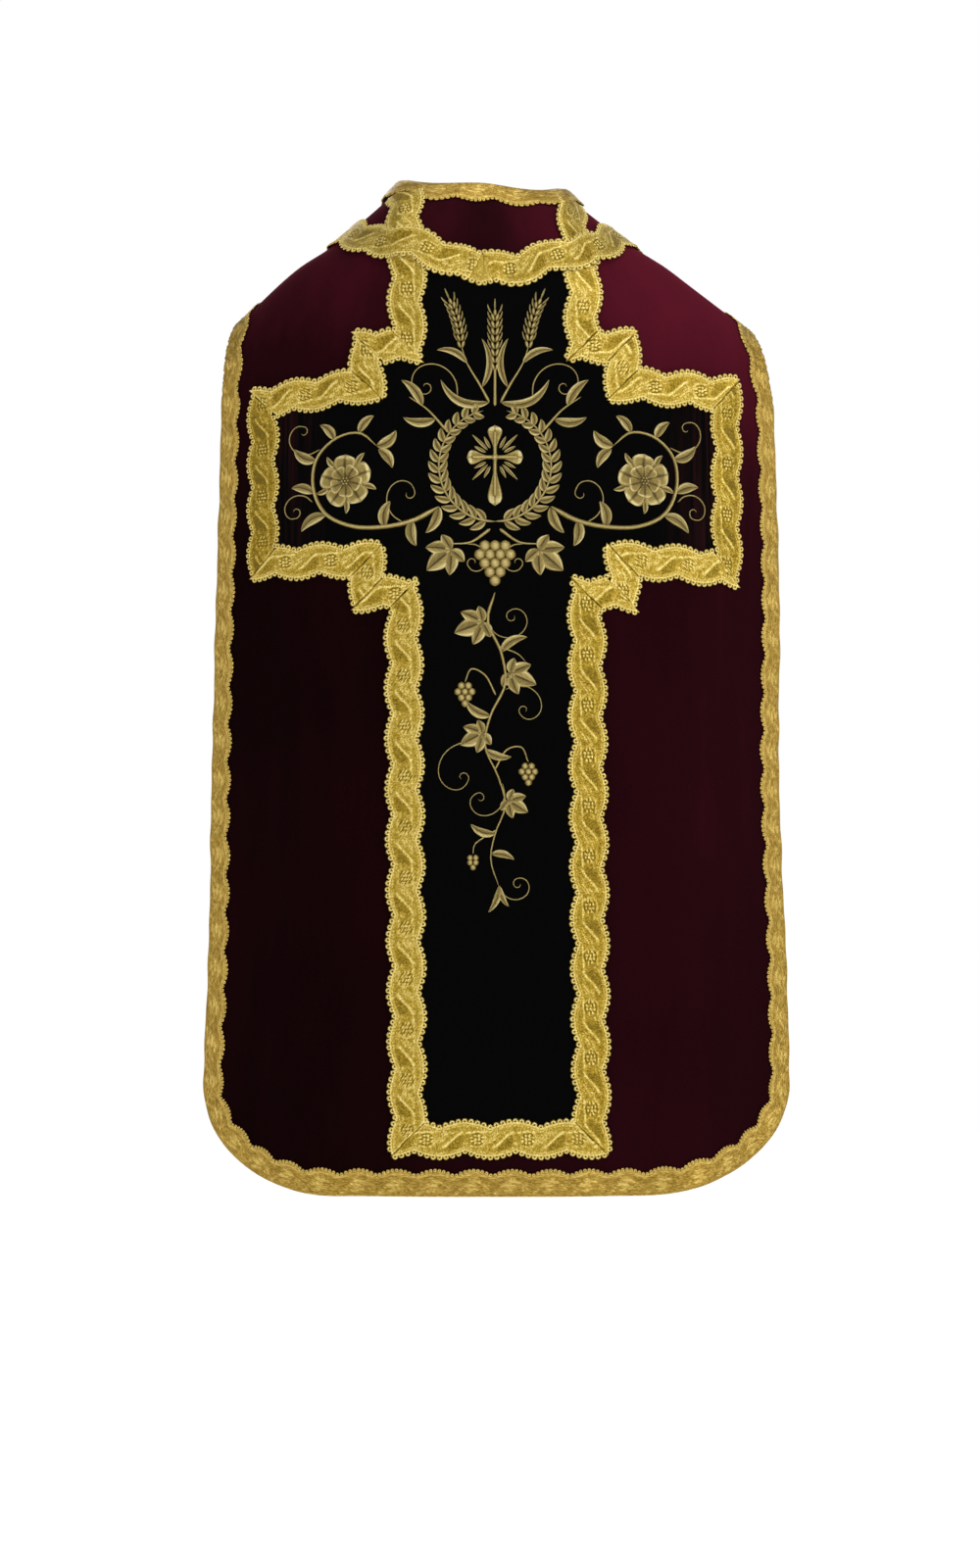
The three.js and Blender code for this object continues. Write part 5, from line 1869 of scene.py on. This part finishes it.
class CHASUBLE_OT_needlework(Operator):
    """Stitch a rayed cross in a laurel wreath, roses in scrolls, wheat and a hanging vine"""

    bl_idname = "chasuble.needlework"
    bl_label = "Gold Needlework"

    def execute(self, context):
        needle = Needle()
        self.wreath(needle)
        needle.piece("needlework_wreath", context)
        for name, sign in (("left", -1), ("right", 1)):
            self.arm_scroll(needle, sign)
            needle.piece("needlework_arm_" + name, context)
        self.sheaf(needle)
        needle.piece("needlework_sheaf", context)
        self.vine(needle)
        needle.piece("needlework_vine", context)
        return {"FINISHED"}

    @staticmethod
    def wreath(needle):
        """A plain cross with flared arms and rays, inside a laurel wreath."""
        crossing = (HEART[0], HEART[1] + 9)
        for angle, reach in ((90, 34), (0, 30), (180, 30), (270, 52)):
            tip = around(crossing, reach, angle)
            needle.petal(crossing, tip, 7.5, pad=2.6, blunt=3.2, groove=0.9)
            needle.stem([crossing, around(crossing, reach * 0.8, angle)], 2.2, taper=1, pad=3.2)
        for quarter in range(4):
            for turn, reach in ((28, 25), (45, 34), (62, 25)):
                angle = quarter * 90 + turn
                base, tip = around(crossing, 11, angle), around(crossing, reach, angle)
                needle.leaf(base, tip, 1.5, pad=1.2, groove=0)
        needle.grain((crossing[0] - 4, crossing[1]), (crossing[0] + 4, crossing[1]), 4, pad=4.6)
        sprigs = 15
        for side in (-1, 1):
            path = [around(HEART, WREATH_RADIUS, -90 + side * 168 * i / 16) for i in range(17)]
            needle.stem(path, 1.5, taper=0.6)
            for i in range(sprigs):
                at = -90 + side * (10 + 158 * i / sprigs)
                foot = around(HEART, WREATH_RADIUS, at)
                size = mix(19, 13, i / sprigs)
                outer = around(foot, size, at + side * 52)
                inner = around(foot, size * 0.9, at + side * 128)
                needle.leaf(foot, outer, 3.7, bow=-0.1 * side, pad=1.7)
                needle.leaf(foot, inner, 3.4, bow=0.1 * side, pad=1.7)

    @staticmethod
    def arm_scroll(needle, side):
        """A scroll that coils round a rose in one arm, with leaves along it."""

        def on(x, y):
            return (side * x, y)

        scroll = [(60, -344), (86, -358), (118, -365), (152, -364), (184, -348), (198, -318),
                  (194, -286), (172, -266), (146, -263), (127, -278)]
        needle.stem([on(*p) for p in scroll], 2.9, taper=0.45)
        rose(needle, on(161, -314), 29, spin=90)
        leaves = [
            ((88, -359), (84, -386), 6, 0.14), ((118, -365), (112, -338), 6, -0.15),
            ((60, -344), (74, -372), 5.5, -0.12), ((184, -350), (212, -366), 6, 0.15),
            ((198, -324), (224, -316), 5.5, 0.1), ((195, -288), (221, -272), 6, -0.12),
            ((174, -267), (190, -249), 5, 0.12), ((146, -263), (130, -246), 5, -0.12),
            ((127, -278), (106, -262), 6, 0.16), ((125, -282), (110, -302), 5.5, -0.14),
        ]
        for base, tip, half, bow in leaves:
            needle.leaf(on(*base), on(*tip), half, bow=bow * side)
        needle.tendril(on(199, -334), on(219, -344), 9, 1.4, sense=-side)
        needle.tendril(on(190, -276), on(210, -254), 8, 1.3, sense=side)
        needle.tendril(on(98, -361), on(92, -330), 9, 1.3, sense=side)

    @staticmethod
    def sheaf(needle):
        """Three ears of wheat that rise above the wreath, with long blades."""
        needle.stem([(0, -236), (0, -216), (0, -196)], 1.9, taper=0.8)
        wheat_ear(needle, (0, -198), (0, -138), 0.0, pairs=8)
        for side in (-1, 1):
            foot = (side * 6, -232)
            needle.stem([foot, (side * 17, -212), (side * 30, -190), (side * 36, -172)], 1.7)
            wheat_ear(needle, (side * 36, -174), (side * 47, -126), side * 0.05, pairs=7)
            needle.leaf(foot, (side * 58, -208), 4.6, bow=-0.22 * side, pad=1.7)
            needle.leaf((side * 14, -216), (side * 14, -164), 3.4, bow=0.16 * side, pad=1.6)
            needle.leaf((side * 30, -190), (side * 62, -176), 3.8, bow=0.16 * side, pad=1.6)
            needle.tendril((side * 40, -226), (side * 74, -216), 10, 1.5, sense=-side)
            needle.stem([(side * 52, -262), (side * 72, -240), (side * 92, -226)], 1.7)
            needle.leaf((side * 78, -236), (side * 100, -208), 5.2, bow=0.12 * side)
            needle.leaf((side * 64, -250), (side * 98, -248), 5.0, bow=-0.14 * side)

    @staticmethod
    def vine(needle):
        """A vine that hangs down the pillar with lobed leaves, grapes and tendrils."""
        for side in (-1, 1):
            needle.stem([(side * 5, -368), (side * 26, -382), (side * 48, -384)], 2.0)
            vine_leaf(needle, (side * 42, -386), (side * 70, -410), 34)
            needle.tendril((side * 30, -384), (side * 24, -404), 8, 1.4, sense=side)
        grapes(needle, (0, -386), 6.2, (3, 4, 3, 2, 1))
        main = [
            (0, -436), (-8, -466), (6, -500), (10, -534), (-6, -568), (-12, -600),
            (2, -634), (9, -664), (-2, -694), (-7, -722), (2, -752),
        ]
        needle.stem(main, 1.9, taper=0.4)
        for base, tip, size in (
            ((-8, -466), (-40, -478), 32), ((10, -520), (42, -534), 30),
            ((-9, -584), (-40, -600), 27), ((8, -656), (34, -672), 24),
        ):
            vine_leaf(needle, base, tip, size)
        for base, tip, half, bow in (
            ((6, -500), (34, -484), 5, 0.15), ((-6, -568), (-32, -552), 5, 0.15),
            ((-12, -604), (16, -612), 4.6, -0.12), ((-2, -694), (-28, -684), 4.4, 0.14),
            ((-6, -716), (18, -722), 4.0, 0.12), ((2, -750), (-10, -778), 3.6, 0.1),
            ((2, -750), (12, -772), 3.2, -0.1),
        ):
            needle.leaf(base, tip, half, bow=bow)
        needle.stem([(4, -494), (24, -502), (32, -510)], 1.3)
        needle.stem([(0, -546), (-12, -524), (-26, -518), (-33, -532)], 1.2, taper=0.7)
        grapes(needle, (-33, -536), 4.2, (2, 3, 2, 1))
        needle.stem([(-2, -626), (12, -604), (27, -602), (34, -618)], 1.2, taper=0.7)
        grapes(needle, (34, -622), 3.9, (2, 3, 2, 1))
        needle.stem([(0, -690), (-14, -698), (-24, -706), (-26, -716)], 1.0, taper=0.7)
        grapes(needle, (-26, -720), 3.4, (2, 2, 1))
        for start, centre, radius, sense in (
            ((-6, -474), (18, -462), 9, 1), ((10, -540), (30, -562), 8, -1),
            ((-12, -600), (-36, -634), 9, 1), ((6, -640), (-18, -656), 8, -1),
            ((2, -752), (22, -748), 8, 1),
        ):
            needle.tendril(start, centre, radius, 1.5, half=0.75, sense=sense)


# ---- The studio -------------------------------------------------------------------------
LENS_MM = 93.65
CAMERA_PLACE = (-0.0043, -4.5, -0.641)
FLOOR_Z = -1.53
FLOOR_RADIUS = 6
# Soft lights: (name, place, aim, size in metres, watts).
LIGHTS = [
    ("key", (2.2, -2.2, 0.9), (0, 0, -0.45), 1.4, 36),
    ("fill", (-2.8, -2.6, 0.4), (0, 0, -0.6), 2.2, 8),
    ("top", (0.2, -0.3, 2.4), (0, 0, -0.3), 1.4, 34),
    ("front", (-0.6, 3.2, 0.2), (0, 0, -0.4), 3.0, 40),
]


class CHASUBLE_OT_studio(Operator):
    """Set the pale floor, the soft lights and the camera behind the garment"""

    bl_idname = "chasuble.studio"
    bl_label = "Studio"

    def execute(self, context):
        scene = context.scene
        deselect()
        bpy.ops.mesh.primitive_circle_add(
            vertices=96, radius=FLOOR_RADIUS, fill_type="NGON", location=(0, 0, FLOOR_Z)
        )
        floor = context.active_object
        bpy.ops.object.transform_apply(location=True)
        floor.name = "studio_floor"
        floor.data.materials.append(opal_table(scene.chasuble_colours))
        for name, place, aim, size, watts in LIGHTS:
            bpy.ops.object.light_add(type="AREA", location=place)
            light = context.active_object
            light.name = "light_" + name
            light.data.shape = "DISK"
            light.data.size = size
            light.data.energy = watts
            aim_at = Vector(aim) - Vector(place)
            light.rotation_euler = aim_at.to_track_quat("-Z", "Y").to_euler()
        self.sky(scene)
        bpy.ops.object.camera_add(location=CAMERA_PLACE, rotation=(QUARTER, 0, 0))
        camera = context.active_object
        camera.name = "camera_behind"
        camera.data.lens = LENS_MM
        camera.data.dof.use_dof = False
        scene.camera = camera
        scene.view_settings.view_transform = "Standard"
        return {"FINISHED"}

    @staticmethod
    def sky(scene):
        """A pale room: white up to eye level and darker overhead, so that metal has
        contrast."""
        world = bpy.data.worlds.new("pale_room")
        scene.world = world
        world.use_nodes = True
        tree = world.node_tree
        tree.nodes.clear()
        direction = add(tree, "ShaderNodeTexCoord").outputs["Generated"]
        parts = add(tree, "ShaderNodeSeparateXYZ", {"Vector": direction})
        ramp = add(tree, "ShaderNodeValToRGB", {"Fac": parts.outputs["Z"]})
        ramp.color_ramp.elements[0].position = 0.2
        ramp.color_ramp.elements[0].color = (1, 1, 1, 1)
        ramp.color_ramp.elements[1].position = 0.75
        ramp.color_ramp.elements[1].color = (0.25, 0.25, 0.26, 1)
        light = add(
            tree, "ShaderNodeBackground", {"Color": ramp.outputs["Color"], "Strength": 1.0}
        )
        add(tree, "ShaderNodeOutputWorld", {"Surface": light.outputs["Background"]})


class CHASUBLE_PT_sidebar(Panel):
    """Lists the pieces of the chasuble"""

    bl_idname = "CHASUBLE_PT_sidebar"
    bl_label = "Roman Chasuble"
    bl_space_type = "VIEW_3D"
    bl_region_type = "UI"
    bl_category = "Chasuble"

    def draw(self, context):
        layout = self.layout
        for group in (context.scene.chasuble_sizes, context.scene.chasuble_colours):
            box = layout.box()
            for key in group.__annotations__:
                box.prop(group, key)
        for operator in OPERATORS:
            layout.operator(operator.bl_idname)


OPERATORS = (
    CHASUBLE_OT_studio,
    CHASUBLE_OT_back,
    CHASUBLE_OT_front,
    CHASUBLE_OT_cross,
    CHASUBLE_OT_cross_galloon,
    CHASUBLE_OT_band,
    CHASUBLE_OT_neck_strips,
    CHASUBLE_OT_bindings,
    CHASUBLE_OT_needlework,
)
CLASSES = (ChasubleSizes, ChasubleColours, *OPERATORS, CHASUBLE_PT_sidebar)


def register():
    for item in CLASSES:
        bpy.utils.register_class(item)
    bpy.types.Scene.chasuble_sizes = PointerProperty(type=ChasubleSizes)
    bpy.types.Scene.chasuble_colours = PointerProperty(type=ChasubleColours)


def unregister():
    del bpy.types.Scene.chasuble_colours
    del bpy.types.Scene.chasuble_sizes
    for item in reversed(CLASSES):
        bpy.utils.unregister_class(item)


def main():
    """Makes the studio and the chasuble."""
    register()
    bpy.ops.chasuble.studio()
    bpy.ops.chasuble.back()
    bpy.ops.chasuble.front()
    bpy.ops.chasuble.cross()
    bpy.ops.chasuble.cross_galloon()
    bpy.ops.chasuble.band()
    bpy.ops.chasuble.neck_strips()
    bpy.ops.chasuble.bindings()
    bpy.ops.chasuble.needlework()
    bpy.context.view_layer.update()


if __name__ == "__main__":
    main()
